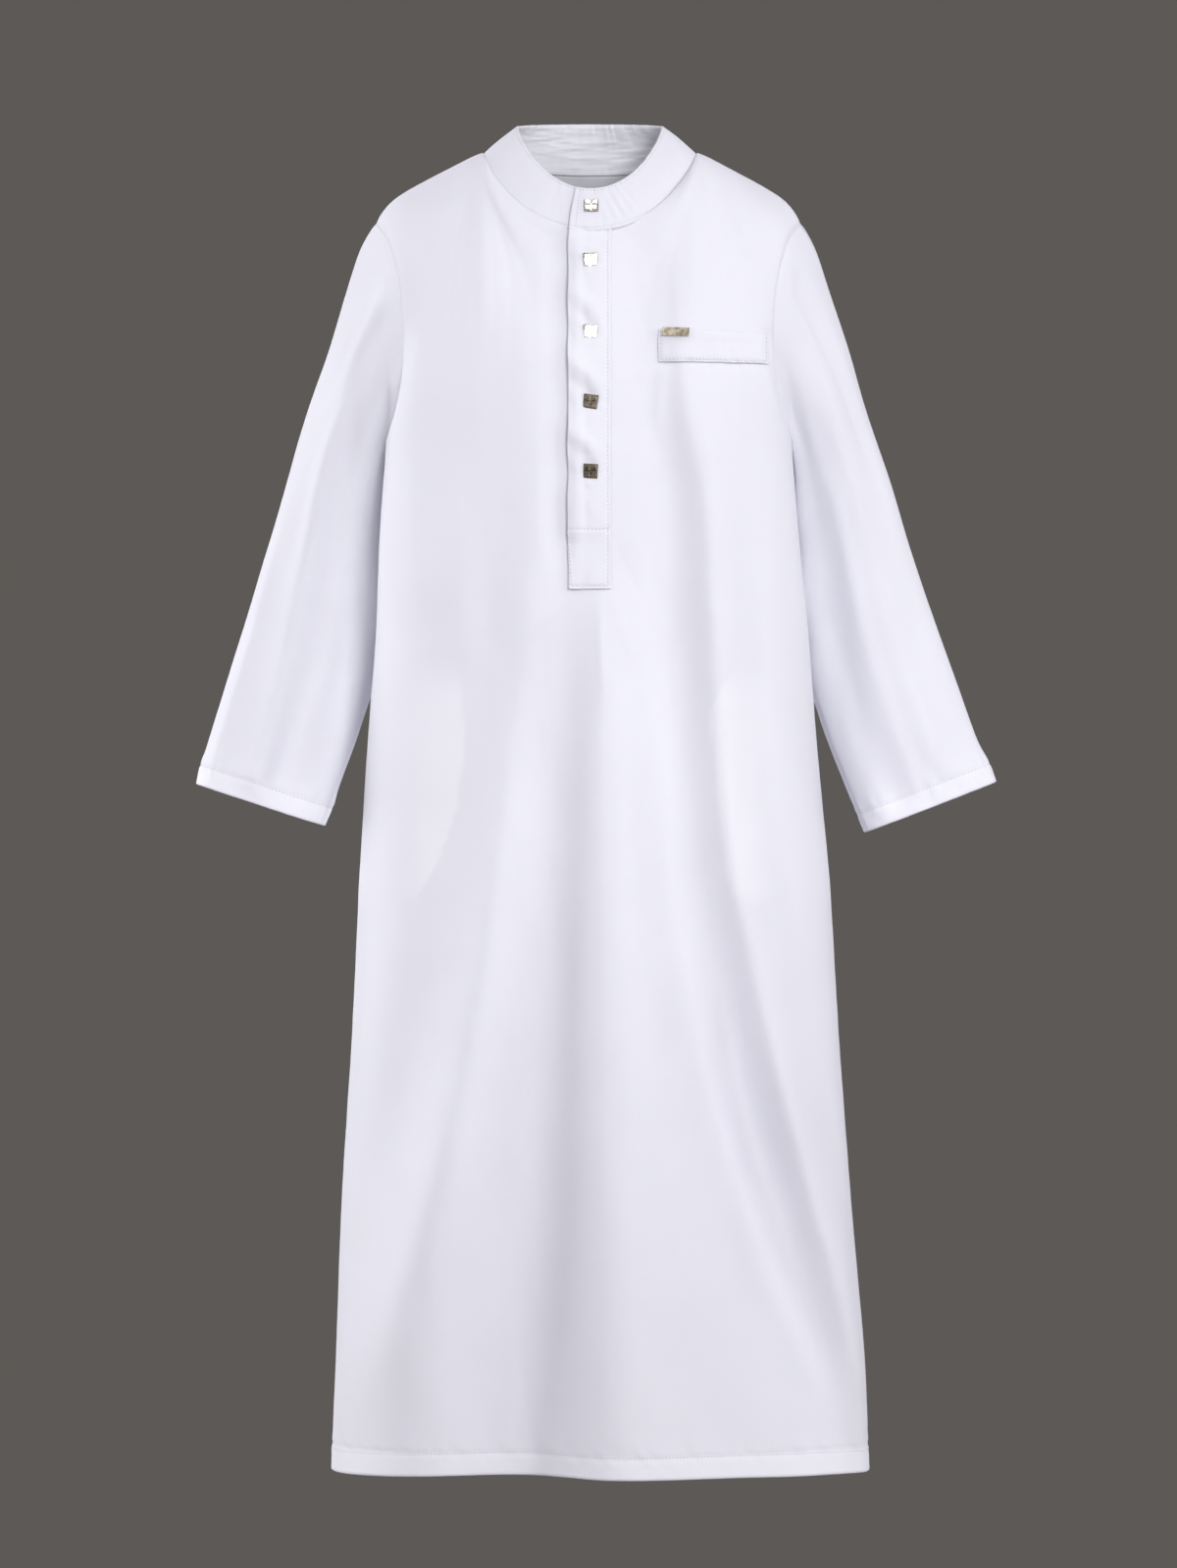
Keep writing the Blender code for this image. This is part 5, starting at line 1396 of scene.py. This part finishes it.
def button_mesh(name, side, thickness):
    """A square metal button: four raised pyramids on a plate with bevelled edges and a cross between them."""
    mesh = bmesh.new()
    plate_height = thickness * 0.45
    rim = side / 2
    plate = (
        (rim * 0.93, 0.0),
        (rim, thickness * 0.12),
        (rim, plate_height * 0.7),
        (rim * 0.88, plate_height + side * 0.025),
    )
    add_stack(mesh, (0.0, 0.0), [(size, size, z) for size, z in plate])
    base = plate_height + side * 0.020
    gap, outer = side * 0.050, rim * 0.84
    pyramid = (
        (1.0, base - side * 0.03),
        (1.0, thickness * 0.86),
        (0.86, thickness * 0.98),
        (0.78, thickness),
    )
    half, off = (outer - gap) / 2, (gap + outer) / 2
    for sx in (-1, 1):
        for sy in (-1, 1):
            levels = [(half * share, half * share, z) for share, z in pyramid]
            add_stack(mesh, (sx * off, sy * off), levels)
    bmesh.ops.recalc_face_normals(mesh, faces=mesh.faces)
    return bevelled_piece(name, mesh, side * BUTTON_BEVEL_SHARE, BUTTON_BEVEL_ANGLE, True)


def settle(obj, place, normal, tilt):
    """Puts an object flat on the cloth, its top facing outward, turned by a small tilt in degrees."""
    outward = Vector(normal).normalized()
    right = Vector((0, 0, 1)).cross(outward).normalized()
    turned = Matrix.Rotation(math.radians(tilt), 3, outward)
    right = turned @ right
    upward = outward.cross(right)
    rotation = Matrix([right, upward, outward]).transposed().to_4x4()
    obj.matrix_world = Matrix.Translation(Vector(place)) @ rotation


def button_places():
    """Where each button sits, from the collar down: place, outward direction and tilt."""
    turn, _, points, normals = collar_surface()
    column_at = int(np.argmin(np.abs(turn[0] - math.asin(BUTTON_X / NECK_HALF_WIDTH))))
    row = int(round(COLLAR_BUTTON_RISE * (COLLAR_RISE_STEPS - 1)))
    place, normal = points[row, column_at], normals[row, column_at]
    found = [(place + normal * BUTTON_GAP, normal, 0.0)]
    placed, outward, _ = placket_surface()
    for height, tilt in BUTTONS:
        at = np.argmin(np.hypot(placed[..., 0] - BUTTON_X, placed[..., 2] - height))
        place, normal = placed.reshape(-1, 3)[at], unit(outward.reshape(-1, 3)[at] + np.array([0, -3.0, 0]))
        found.append((np.array([BUTTON_X, place[1], height]) + normal * BUTTON_GAP, normal, tilt))
    return found


def make_bar(front):
    """The blank metal bar at the pocket's corner: a plate with rounded edges and a sunk field."""
    half_width, half_height, thickness = BAR["width"] / 2, BAR["height"] / 2, BAR["thickness"]
    levels = ((0.0, 0.0), (0.0, thickness), (0.0008, thickness), (0.0010, thickness * 0.82))
    mesh = bmesh.new()
    add_stack(mesh, (0.0, 0.0), [(half_width - inset, half_height - inset, z) for inset, z in levels])
    obj = bevelled_piece("pocket_bar_metal", mesh, BAR_BEVEL, BAR_BEVEL_ANGLE, False)
    points, normals = on_front(front, [BAR["x"]], [BAR["z"]])
    settle(obj, points[0] + normals[0] * (BAR_LIFT + BAND_LOOK), normals[0], BAR["tilt"])
    return obj


# ---- Materials

VECTOR, NUMBER, COLOUR = "NodeSocketVector", "NodeSocketFloat", "NodeSocketColor"
WARP_PER_METRE = 2600.0
WEAVE_DEPTH = 0.00012
THREAD_COLOUR = (0.70, 0.70, 0.75, 1)
FLOOR_COLOUR = (0.32, 0.31, 0.30, 1)
BAR_COLOUR = (0.76, 0.69, 0.575)
BAR_POLISH, BUTTON_POLISH = 0.40, 0.24


def fill(tree, node, inputs):
    """Gives each named input of a node its value, or links it to the output it takes its value from."""
    for name, value in inputs.items():
        if isinstance(value, bpy.types.NodeSocket):
            tree.links.new(value, node.inputs[name])
        else:
            node.inputs[name].default_value = value


def add_node(tree, kind, inputs, **settings):
    """Adds a node, with its settings and its inputs."""
    made = tree.nodes.new(kind)
    for name, value in settings.items():
        setattr(made, name, value)
    fill(tree, made, inputs)
    return made


def add_math(tree, operation, *values):
    """Adds a calculation and returns its result."""
    return add_node(tree, "ShaderNodeMath", dict(enumerate(values)), operation=operation).outputs[0]


def add_noise(tree, place, scale, detail):
    """Adds cloudy noise and returns its strength."""
    inputs = {"Vector": place, "Scale": scale, "Detail": detail}
    return add_node(tree, "ShaderNodeTexNoise", inputs).outputs["Fac"]


def add_blend(tree, share, first, second):
    """Adds a blend of two colours and returns it."""
    inputs = {"Factor": share, "A": first, "B": second}
    return add_node(tree, "ShaderNodeMix", inputs, data_type="RGBA").outputs["Result"]


def add_scaled(tree, vector, scale):
    """Adds a vector or colour multiplied by a number and returns it."""
    inputs = {0: vector, "Scale": scale}
    return add_node(tree, "ShaderNodeVectorMath", inputs, operation="SCALE").outputs[0]


def new_group(name, inputs, outputs):
    """A node group with named inputs and outputs; returns it, its inputs' values and its outputs' sockets."""
    group = bpy.data.node_groups.new(name, "ShaderNodeTree")
    for label, kind, value in inputs:
        made = group.interface.new_socket(label, in_out="INPUT", socket_type=kind)
        if value is not None:
            made.default_value = value
    for label, kind in outputs:
        group.interface.new_socket(label, in_out="OUTPUT", socket_type=kind)
    entry, leave = group.nodes.new("NodeGroupInput"), group.nodes.new("NodeGroupOutput")
    return group, entry.outputs, leave


def weave_group():
    """Plain weave as a height: crossed threads, with thick and thin places along them."""
    group, given, leave = new_group(
        "Plain weave",
        (("Place", VECTOR, None), ("Threads", NUMBER, WARP_PER_METRE), ("Unevenness", NUMBER, 0.35)),
        (("Height", NUMBER),),
    )
    scaled = add_scaled(group, given["Place"], given["Threads"])
    parts = add_node(group, "ShaderNodeSeparateXYZ", {0: scaled})
    waves = [add_math(group, "SINE", parts.outputs[axis]) for axis in ("X", "Y")]
    crossed = add_math(group, "MULTIPLY", *waves)
    stretched = add_node(group, "ShaderNodeMapping", {"Vector": given["Place"], "Scale": (1.0, 0.22, 1.0)})
    slub = add_noise(group, stretched.outputs[0], 420.0, 3.0)
    uneven = add_math(group, "MULTIPLY", slub, given["Unevenness"])
    half = add_math(group, "MULTIPLY", crossed, 0.5)
    fill(group, leave, {"Height": add_math(group, "ADD", half, uneven)})
    return group


def tone_group():
    """Cloth colour that drifts from place to place and is lighter where a second layer lies behind."""
    group, given, leave = new_group(
        "Cloth tone",
        (
            ("Place", VECTOR, None),
            ("Single", COLOUR, (0.8, 0.8, 0.84, 1)),
            ("Double", COLOUR, (0.85, 0.85, 0.88, 1)),
            ("Doubled", NUMBER, 0.0),
            ("Drift", NUMBER, 0.02),
        ),
        (("Color", COLOUR), ("Roughness", NUMBER)),
    )
    layer = add_blend(group, given["Doubled"], given["Single"], given["Double"])
    centred = add_math(group, "SUBTRACT", add_noise(group, given["Place"], 14.0, 2.0), 0.5)
    shift = add_math(group, "MULTIPLY_ADD", centred, given["Drift"], 1.0)
    rough = add_math(group, "MULTIPLY_ADD", centred, 0.10, 0.78)
    fill(group, leave, {"Color": add_scaled(group, layer, shift), "Roughness": rough})
    return group


def metal_group():
    """Polished metal with fine duller and darker marks."""
    group, given, leave = new_group(
        "Rubbed metal",
        (
            ("Place", VECTOR, None),
            ("Bright", COLOUR, (0.8, 0.75, 0.66, 1)),
            ("Dull", COLOUR, (0.3, 0.24, 0.17, 1)),
            ("Polish", NUMBER, 0.2),
        ),
        (("Color", COLOUR), ("Roughness", NUMBER)),
    )
    stain = add_noise(group, given["Place"], 330.0, 4.0)
    spread = add_node(group, "ShaderNodeMapRange", {"Value": stain, "From Min": 0.42, "From Max": 0.75})
    marks = spread.outputs["Result"]
    rough = add_math(group, "MULTIPLY_ADD", marks, 0.18, given["Polish"])
    fill(group, leave, {"Color": add_blend(group, marks, given["Bright"], given["Dull"]), "Roughness": rough})
    return group


def add_group(tree, name, build, inputs):
    """Adds a node group to a material, built on its first use, and returns its outputs."""
    group = bpy.data.node_groups.get(name) or build()
    return add_node(tree, "ShaderNodeGroup", inputs, node_tree=group).outputs


def material_named(name, build):
    """A material, built on its first use by a function of its nodes and its shader."""
    made = bpy.data.materials.get(name)
    if not made:
        made = bpy.data.materials.new(name)
        made.use_nodes = True
        build(made.node_tree, made.node_tree.nodes["Principled BSDF"])
    return made


def object_place(tree):
    """Places in a piece's own frame."""
    return add_node(tree, "ShaderNodeTexCoord", {}).outputs["Object"]


def cloth_material(name, single, double, threads, bump_strength, drift):
    """Plain-woven cloth: its colours where single and doubled, its threads and how far they stand out."""

    def build(tree, shader):
        place = add_node(tree, "ShaderNodeUVMap", {}, uv_map="cloth").outputs["UV"]
        doubled = add_node(tree, "ShaderNodeAttribute", {}, attribute_name="doubled").outputs["Fac"]
        colours = {"Single": (*single, 1), "Double": (*double, 1), "Drift": drift}
        tone = add_group(tree, "Cloth tone", tone_group, {"Place": place, "Doubled": doubled, **colours})
        weave = add_group(tree, "Plain weave", weave_group, {"Place": place, "Threads": threads})
        relief = {"Strength": bump_strength, "Distance": WEAVE_DEPTH, "Height": weave["Height"]}
        bumped = add_node(tree, "ShaderNodeBump", relief)
        fill(
            tree,
            shader,
            {
                "Base Color": tone["Color"],
                "Roughness": tone["Roughness"],
                "Normal": bumped.outputs["Normal"],
                "Specular IOR Level": 0.25,
                "Sheen Weight": 0.08,
                "Sheen Roughness": 0.45,
            },
        )

    return material_named(name, build)


def metal_material(name, bright, dull, polish):
    """Rubbed metal: its polished colour, its dulled colour and how rough its polish is."""

    def build(tree, shader):
        colours = {"Bright": (*bright, 1), "Dull": (*dull, 1), "Polish": polish}
        metal = add_group(tree, "Rubbed metal", metal_group, {"Place": object_place(tree), **colours})
        fill(tree, shader, {"Base Color": metal["Color"], "Roughness": metal["Roughness"], "Metallic": 1.0})

    return material_named(name, build)


def thread_material():
    """Sewing thread, a little darker than the cloth."""

    def build(tree, shader):
        colours = {"Single": THREAD_COLOUR, "Double": THREAD_COLOUR, "Drift": 0.08}
        tone = add_group(tree, "Cloth tone", tone_group, {"Place": object_place(tree), **colours})
        fill(tree, shader, {"Base Color": tone["Color"], "Roughness": 0.5, "Sheen Weight": 0.15})

    return material_named("Sewing thread", build)


def floor_material():
    """Plain grey plaster."""

    def build(tree, shader):
        colours = {"Single": FLOOR_COLOUR, "Drift": 0.10}
        tone = add_group(tree, "Cloth tone", tone_group, {"Place": object_place(tree), **colours})
        fill(tree, shader, {"Base Color": tone["Color"], "Roughness": tone["Roughness"]})

    return material_named("Floor plaster", build)


def dress(obj, material):
    """Makes a material an object's only one."""
    obj.data.materials.clear()
    obj.data.materials.append(material)


# ---- The stage

# the floor's edge, as rows of radius and height
FLOOR_PROFILE = (
    (0.0, 0.0),
    (0.74, 0.0),
    (0.752, -0.0012),
    (0.760, -0.005),
    (0.762, -0.012),
    (0.762, -0.03),
    (0.0, -0.03),
)
FLOOR_SIDES = 96
AROUND_COLOUR = (0.95, 0.88, 1.22, 1)
MIRRORED_COLOUR = (0.60, 0.50, 0.40, 1)
AROUND_STRENGTH = 0.135
ROBE_MIDDLE = (0, 0, -0.45)
SPOT_RADIUS = 0.5


def make_floor(depth):
    """A round floor with a softly rounded edge."""
    points = []
    for radius, height in FLOOR_PROFILE:
        for side in range(FLOOR_SIDES):
            turn = 2 * math.pi * side / FLOOR_SIDES
            points.append((radius * math.cos(turn), radius * math.sin(turn), height - depth))
    obj = mesh_piece("floor", points, ring_quads(len(FLOOR_PROFILE), FLOOR_SIDES), smooth_shaded=False)
    dress(obj, floor_material())
    return obj


def add_backdrop(scene, colour):
    """A plain backdrop for the camera, one even light for reflections and another for everything else."""
    world = bpy.data.worlds.new("Backdrop")
    scene.world = world
    world.use_nodes = True
    tree = world.node_tree
    seen = tree.nodes["Background"]
    fill(tree, seen, {"Color": (*colour, 1)})
    around, mirrored = (
        add_node(tree, "ShaderNodeBackground", {"Color": tint, "Strength": AROUND_STRENGTH})
        for tint in (AROUND_COLOUR, MIRRORED_COLOUR)
    )
    path = add_node(tree, "ShaderNodeLightPath", {})
    last = around
    for ray, background in (("Is Glossy Ray", mirrored), ("Is Camera Ray", seen)):
        inputs = {"Fac": path.outputs[ray], 1: last.outputs[0], 2: background.outputs[0]}
        last = add_node(tree, "ShaderNodeMixShader", inputs)
    fill(tree, tree.nodes["World Output"], {"Surface": last.outputs[0]})


def add_light(name, kind, power, place, aim):
    """A light that stands in one place and faces another; returns its settings."""
    data = bpy.data.lights.new(name, kind)
    data.energy = power
    light = add_to_scene(name, data)
    light.location = place
    light.rotation_euler = (Vector(aim) - Vector(place)).to_track_quat("-Z", "Y").to_euler()
    return data


def add_area_light(name, power, place, size):
    """A broad light that faces the robe's middle."""
    add_light(name, "AREA", power, place, ROBE_MIDDLE).size = size


def add_spot_light(name, power, place, aim, cone):
    """A soft round light that reaches only part of the robe."""
    data = add_light(name, "SPOT", power, place, aim)
    data.shadow_soft_size = SPOT_RADIUS
    data.spot_size, data.spot_blend = math.radians(cone), 1.0


# each light's name, the setting its power comes from and its share of that, where it stands, and the size of
# a broad light or the aim and cone of a narrow one
LIGHTS = (
    (add_area_light, "Main light", "key", 1.0, (1.20, -4.15, 0.55), (1.2,)),
    (add_area_light, "Side light", "side", 1.0, (3.4, -1.6, 0.9), (1.5,)),
    (add_area_light, "Overhead light", "overhead", 1.0, (-0.08, -1.42, 2.6), (1.1,)),
    (add_area_light, "Fill light", "fill", 1.0, (-2.6, -3.6, -0.2), (2.6,)),
    (add_area_light, "Left edge light", "edge", 1.0, (-3.0, 1.0, 0.0), (1.6,)),
    (add_spot_light, "Sleeve light", "sleeve", 1.0, (-2.3, -2.6, 1.0), ((-0.18, 0.0, -0.40), 16)),
    (add_spot_light, "Left sleeve light", "sleeve", 0.25, (2.6, -2.6, 0.6), ((0.27, 0.0, -0.38), 13)),
    (add_spot_light, "Skirt light", "skirt", 1.1, (-2.6, -2.4, -0.5), ((-0.25, 0.0, -0.91), 15)),
    (add_area_light, "Right edge light", "edge", 0.35, (3.0, 1.3, -0.3), (1.6,)),
    (add_area_light, "Rear light", "rear", 1.0, (-0.6, 3.6, 1.4), (2.6,)),
)
CAMERA_X = -0.0011
CAMERA_Z = -0.4834
SEEN_WIDTH = 0.90432
SENSOR_WIDTH = 36.0


def add_camera(scene, distance):
    """A level camera straight in front of the robe, which shows the same width from any distance."""
    data = bpy.data.cameras.new("Camera")
    data.sensor_fit = "HORIZONTAL"
    data.sensor_width = SENSOR_WIDTH
    data.lens = SENSOR_WIDTH * distance / SEEN_WIDTH
    camera = add_to_scene("Camera", data)
    camera.location = (CAMERA_X, -distance, CAMERA_Z)
    camera.rotation_euler = (math.pi / 2, 0, 0)
    scene.camera = camera
    scene.view_settings.view_transform = "Standard"


# ---- What a user can change


class ThobeCloth(bpy.types.PropertyGroup):
    """Colours and weave of the cloth."""

    single: bpy.props.FloatVectorProperty(
        name="Cloth", description="Colour of one layer of cloth",
        subtype="COLOR", size=3, min=0, max=1, default=(0.828, 0.828, 0.880),
    )
    double: bpy.props.FloatVectorProperty(
        name="Doubled cloth", description="Colour where a second layer shows through",
        subtype="COLOR", size=3, min=0, max=1, default=(0.885, 0.885, 0.930),
    )
    threads: bpy.props.FloatProperty(
        name="Threads", description="How closely the threads lie, as waves over a metre",
        default=7200.0, min=1000, max=20000,
    )
    relief: bpy.props.FloatProperty(
        name="Weave relief", description="How strongly the weave catches the light",
        subtype="FACTOR", default=0.35, min=0, max=1,
    )


class ThobeTrim(bpy.types.PropertyGroup):
    """Colours of the metal: the buttons' lit colour, a darker copy of it that paints shade on the lower
    buttons, and the dulled marks.
    """

    bright: bpy.props.FloatVectorProperty(
        name="Polished metal", description="Colour of the buttons' polished faces",
        subtype="COLOR", size=3, min=0, max=1, default=(0.93, 0.91, 0.88),
    )
    # painted shade: the lower buttons' colour is a darker copy of the button metal, standing in for the dark
    # reflections they show
    painted_shade_metal: bpy.props.FloatVectorProperty(
        name="Painted shade metal", description="Colour of the lower buttons, a darker copy painted as shade",
        subtype="COLOR", size=3, min=0, max=1, default=(0.175, 0.153, 0.130),
    )
    dull: bpy.props.FloatVectorProperty(
        name="Dark metal", description="Colour of the metal where it has dulled",
        subtype="COLOR", size=3, min=0, max=1, default=(0.24, 0.18, 0.12),
    )


class ThobeStage(bpy.types.PropertyGroup):
    """The floor, lights and camera."""

    floor_depth: bpy.props.FloatProperty(
        name="Floor", description="How far the floor lies below the collar",
        subtype="DISTANCE", unit="LENGTH", default=1.25, min=1.05, max=3,
    )
    backdrop: bpy.props.FloatVectorProperty(
        name="Backdrop", description="Colour behind the robe",
        subtype="COLOR", size=3, min=0, max=1, default=(0.1095, 0.0999, 0.0931),
    )
    key: bpy.props.FloatProperty(
        name="Main light", description="Strength of the main light",
        unit="POWER", default=95.0, min=0, max=2000,
    )
    side: bpy.props.FloatProperty(
        name="Side light", description="Strength of the light that rakes across the folds",
        unit="POWER", default=43.0, min=0, max=2000,
    )
    overhead: bpy.props.FloatProperty(
        name="Overhead light", description="Strength of the broad light above",
        unit="POWER", default=15.0, min=0, max=2000,
    )
    fill: bpy.props.FloatProperty(
        name="Fill light", description="Strength of the light from the other side",
        unit="POWER", default=10.0, min=0, max=2000,
    )
    sleeve: bpy.props.FloatProperty(
        name="Sleeve light", description="Strength of the small light on the robe's right sleeve and chest",
        unit="POWER", default=265.0, min=0, max=2000,
    )
    rear: bpy.props.FloatProperty(
        name="Rear light", description="Strength of the broad light behind the robe",
        unit="POWER", default=70.0, min=0, max=2000,
    )
    skirt: bpy.props.FloatProperty(
        name="Skirt light", description="Strength of the small light low on the robe's right side",
        unit="POWER", default=75.0, min=0, max=2000,
    )
    edge: bpy.props.FloatProperty(
        name="Edge light", description="Strength of the light that grazes the robe's side",
        unit="POWER", default=70.0, min=0, max=2000,
    )
    distance: bpy.props.FloatProperty(
        name="Camera distance", description="From the camera to the robe's middle",
        subtype="DISTANCE", unit="LENGTH", default=5.5, min=2, max=20,
    )


# ---- Placing and colouring the pieces

# for each cloth: how much lighter it is than the user's colours, how much its colour drifts, and its share of
# the weave's relief
CLOTH_FINISHES = {
    "Robe cloth": (0.0, 0.05, 1.0),
    "Collar cloth": (0.0, 0.04, 0.8),
    "Band cloth": (0.01, 0.04, 0.8),
    "Bag cloth": (0.0, 0.05, 1.0),
}


def place_piece(obj, nodes, material):
    """Gives a piece its material and its place in the frame: the solids it stands for."""
    dress(obj, material)
    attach(obj, "root")
    if nodes:
        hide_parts(*nodes)


def place_stitches(name, rows, slot_name, **thread):
    """Sews rows of stitches and places them as a piece of their own."""
    stitches = stitch_rows(name, rows, **thread)
    place_piece(stitches, [], thread_material())
    return stitches


def cloth_look(context, name):
    """One of the cloths, in the user's colours and weave."""
    look = context.scene.thobe_cloth
    lighter, drift, relief = CLOTH_FINISHES[name]
    single = tuple(min(value + lighter, 1) for value in look.single)
    double = tuple(min(value + lighter, 1) for value in look.double)
    return cloth_material(name, single, double, look.threads, look.relief * relief, drift)


# ---- The pieces, one operator for each


class THOBE_OT_front(bpy.types.Operator):
    """Makes the front of the robe, with its long folds, hem and hem stitching"""

    bl_idname = "thobe.front"
    bl_label = "Front"

    def execute(self, context):
        grid = front_grid()
        cloth = make_front(grid)
        place_piece(cloth, ["front"], cloth_look(context, "Robe cloth"))
        stitches = place_stitches("front_hem_stitches", hem_rows(grid), "cloth")
        return {"FINISHED"}


class THOBE_OT_back(bpy.types.Operator):
    """Makes the back of the robe, with its folds, hem and hem stitching"""

    bl_idname = "thobe.back"
    bl_label = "Back"

    def execute(self, context):
        grid = back_grid()
        cloth = make_back(grid)
        place_piece(cloth, ["back"], cloth_look(context, "Robe cloth"))
        stitches = place_stitches("back_hem_stitches", hem_rows(grid), "cloth")
        return {"FINISHED"}


class THOBE_OT_sleeves(bpy.types.Operator):
    """Makes both sleeves with their creases, cuffs and cuff stitching"""

    bl_idname = "thobe.sleeves"
    bl_label = "Sleeves"

    def execute(self, context):
        for side, name in ((-1, "right"), (1, "left")):
            cloth, line = make_sleeve(side, f"sleeve_{name}_cloth")
            place_piece(cloth, [f"sleeve_{name}"], cloth_look(context, "Robe cloth"))
            stitches = place_stitches(f"cuff_{name}_stitches", [line], "cloth")
        return {"FINISHED"}


class THOBE_OT_collar(bpy.types.Operator):
    """Makes the stand collar with its stitched edges"""

    bl_idname = "thobe.collar"
    bl_label = "Collar"

    def execute(self, context):
        band, rows = make_collar()
        place_piece(band, ["collar"], cloth_look(context, "Collar cloth"))
        stitches = place_stitches("collar_stitches", rows, "collar_cloth", pitch=0.0028)
        return {"FINISHED"}


class THOBE_OT_placket(bpy.types.Operator):
    """Makes the front band, its lining and their stitching"""

    bl_idname = "thobe.placket"
    bl_label = "Front band"

    def execute(self, context):
        band, rows = make_placket()
        place_piece(band, ["placket_over"], cloth_look(context, "Band cloth"))
        stitches = place_stitches("placket_stitches", rows, "band_cloth", pitch=0.0029, radius=0.00050)
        lining = make_under_band(front_grid())
        place_piece(lining, ["placket_under"], cloth_look(context, "Band cloth"))
        return {"FINISHED"}


class THOBE_OT_pocket(bpy.types.Operator):
    """Makes the chest pocket's welt, its stitching and the metal bar at its corner"""

    bl_idname = "thobe.pocket"
    bl_label = "Chest pocket"

    def execute(self, context):
        welt, rows = make_welt(front_grid())
        place_piece(welt, ["pocket_welt"], cloth_look(context, "Band cloth"))
        stitches = place_stitches("pocket_stitches", rows, "band_cloth", pitch=0.0029, radius=0.00045)
        bar = make_bar(front_grid())
        bar_metal = metal_material("Pocket bar metal", BAR_COLOUR, context.scene.thobe_trim.dull, BAR_POLISH)
        place_piece(bar, ["pocket_bar"], bar_metal)
        return {"FINISHED"}


class THOBE_OT_bags(bpy.types.Operator):
    """Makes the two side pocket bags that hang inside the front"""

    bl_idname = "thobe.bags"
    bl_label = "Pocket bags"

    def execute(self, context):
        for side, name in ((-1, "right"), (1, "left")):
            bag = make_bag(front_grid(), side, f"bag_{name}_cloth")
            place_piece(bag, [f"pocket_bag_{name}"], cloth_look(context, "Bag cloth"))
        return {"FINISHED"}


class THOBE_OT_buttons(bpy.types.Operator):
    """Makes the five square metal buttons"""

    bl_idname = "thobe.buttons"
    bl_label = "Buttons"

    def execute(self, context):
        trim = context.scene.thobe_trim
        # the upper buttons take the lit copy of the metal colour and the lower ones a darker copy of it:
        # painted shade for the dark reflections they show
        polished = metal_material("Button metal", trim.bright, trim.dull, BUTTON_POLISH)
        painted_shade_metal = metal_material("Button metal with painted shade", trim.painted_shade_metal, trim.dull, BUTTON_POLISH)
        for number, (place, normal, tilt) in enumerate(button_places(), 1):
            button = button_mesh(f"button_{number}_metal", BUTTON_SIDE, BUTTON_RISE)
            lean_x, lean_z = BUTTON_LEANS[number - 1]
            settle(button, place, unit(normal + np.array([lean_x, 0, lean_z])), tilt)
            metal = polished if number <= LIT_COPY_BUTTONS else painted_shade_metal
            place_piece(button, [f"button_{number}"], metal)
        return {"FINISHED"}


class THOBE_OT_stage(bpy.types.Operator):
    """Sets the floor, lights, backdrop and camera round the robe"""

    bl_idname = "thobe.stage"
    bl_label = "Stage"

    def execute(self, context):
        stage = context.scene.thobe_stage
        make_floor(stage.floor_depth)
        add_backdrop(context.scene, stage.backdrop)
        for add, name, setting, share, place, shape in LIGHTS:
            add(name, getattr(stage, setting) * share, place, *shape)
        add_camera(context.scene, stage.distance)
        return {"FINISHED"}


class THOBE_PT_robe(bpy.types.Panel):
    """The robe's settings and the pieces it is made of"""

    bl_idname = "THOBE_PT_robe"
    bl_label = "Thobe robe"
    bl_space_type = "VIEW_3D"
    bl_region_type = "UI"
    bl_category = "Thobe"

    def draw(self, context):
        layout = self.layout
        scene = context.scene
        boxes = {"Cloth": scene.thobe_cloth, "Metal": scene.thobe_trim, "Stage": scene.thobe_stage}
        for title, settings in boxes.items():
            box = layout.box()
            box.label(text=title)
            for name in settings.__annotations__:
                box.prop(settings, name)
        for operator in OPERATORS:
            layout.operator(operator.bl_idname)


OPERATORS = (
    THOBE_OT_front,
    THOBE_OT_back,
    THOBE_OT_sleeves,
    THOBE_OT_collar,
    THOBE_OT_placket,
    THOBE_OT_pocket,
    THOBE_OT_bags,
    THOBE_OT_buttons,
    THOBE_OT_stage,
)
SETTINGS = {"thobe_cloth": ThobeCloth, "thobe_trim": ThobeTrim, "thobe_stage": ThobeStage}


def register():
    """Adds the settings, the operators and the panel."""
    for settings in SETTINGS.values():
        bpy.utils.register_class(settings)
    for shown in (*OPERATORS, THOBE_PT_robe):
        bpy.utils.register_class(shown)
    for name, settings in SETTINGS.items():
        setattr(bpy.types.Scene, name, bpy.props.PointerProperty(type=settings))


def unregister():
    """Takes them away again."""
    for name in SETTINGS:
        delattr(bpy.types.Scene, name)
    for shown in reversed((*SETTINGS.values(), *OPERATORS, THOBE_PT_robe)):
        bpy.utils.unregister_class(shown)


def main():
    """Makes the whole robe and its stage."""
    register()
    bpy.ops.thobe.front()
    bpy.ops.thobe.back()
    bpy.ops.thobe.sleeves()
    bpy.ops.thobe.collar()
    bpy.ops.thobe.placket()
    bpy.ops.thobe.pocket()
    bpy.ops.thobe.bags()
    bpy.ops.thobe.buttons()
    bpy.ops.thobe.stage()


if __name__ == "__main__":
    main()
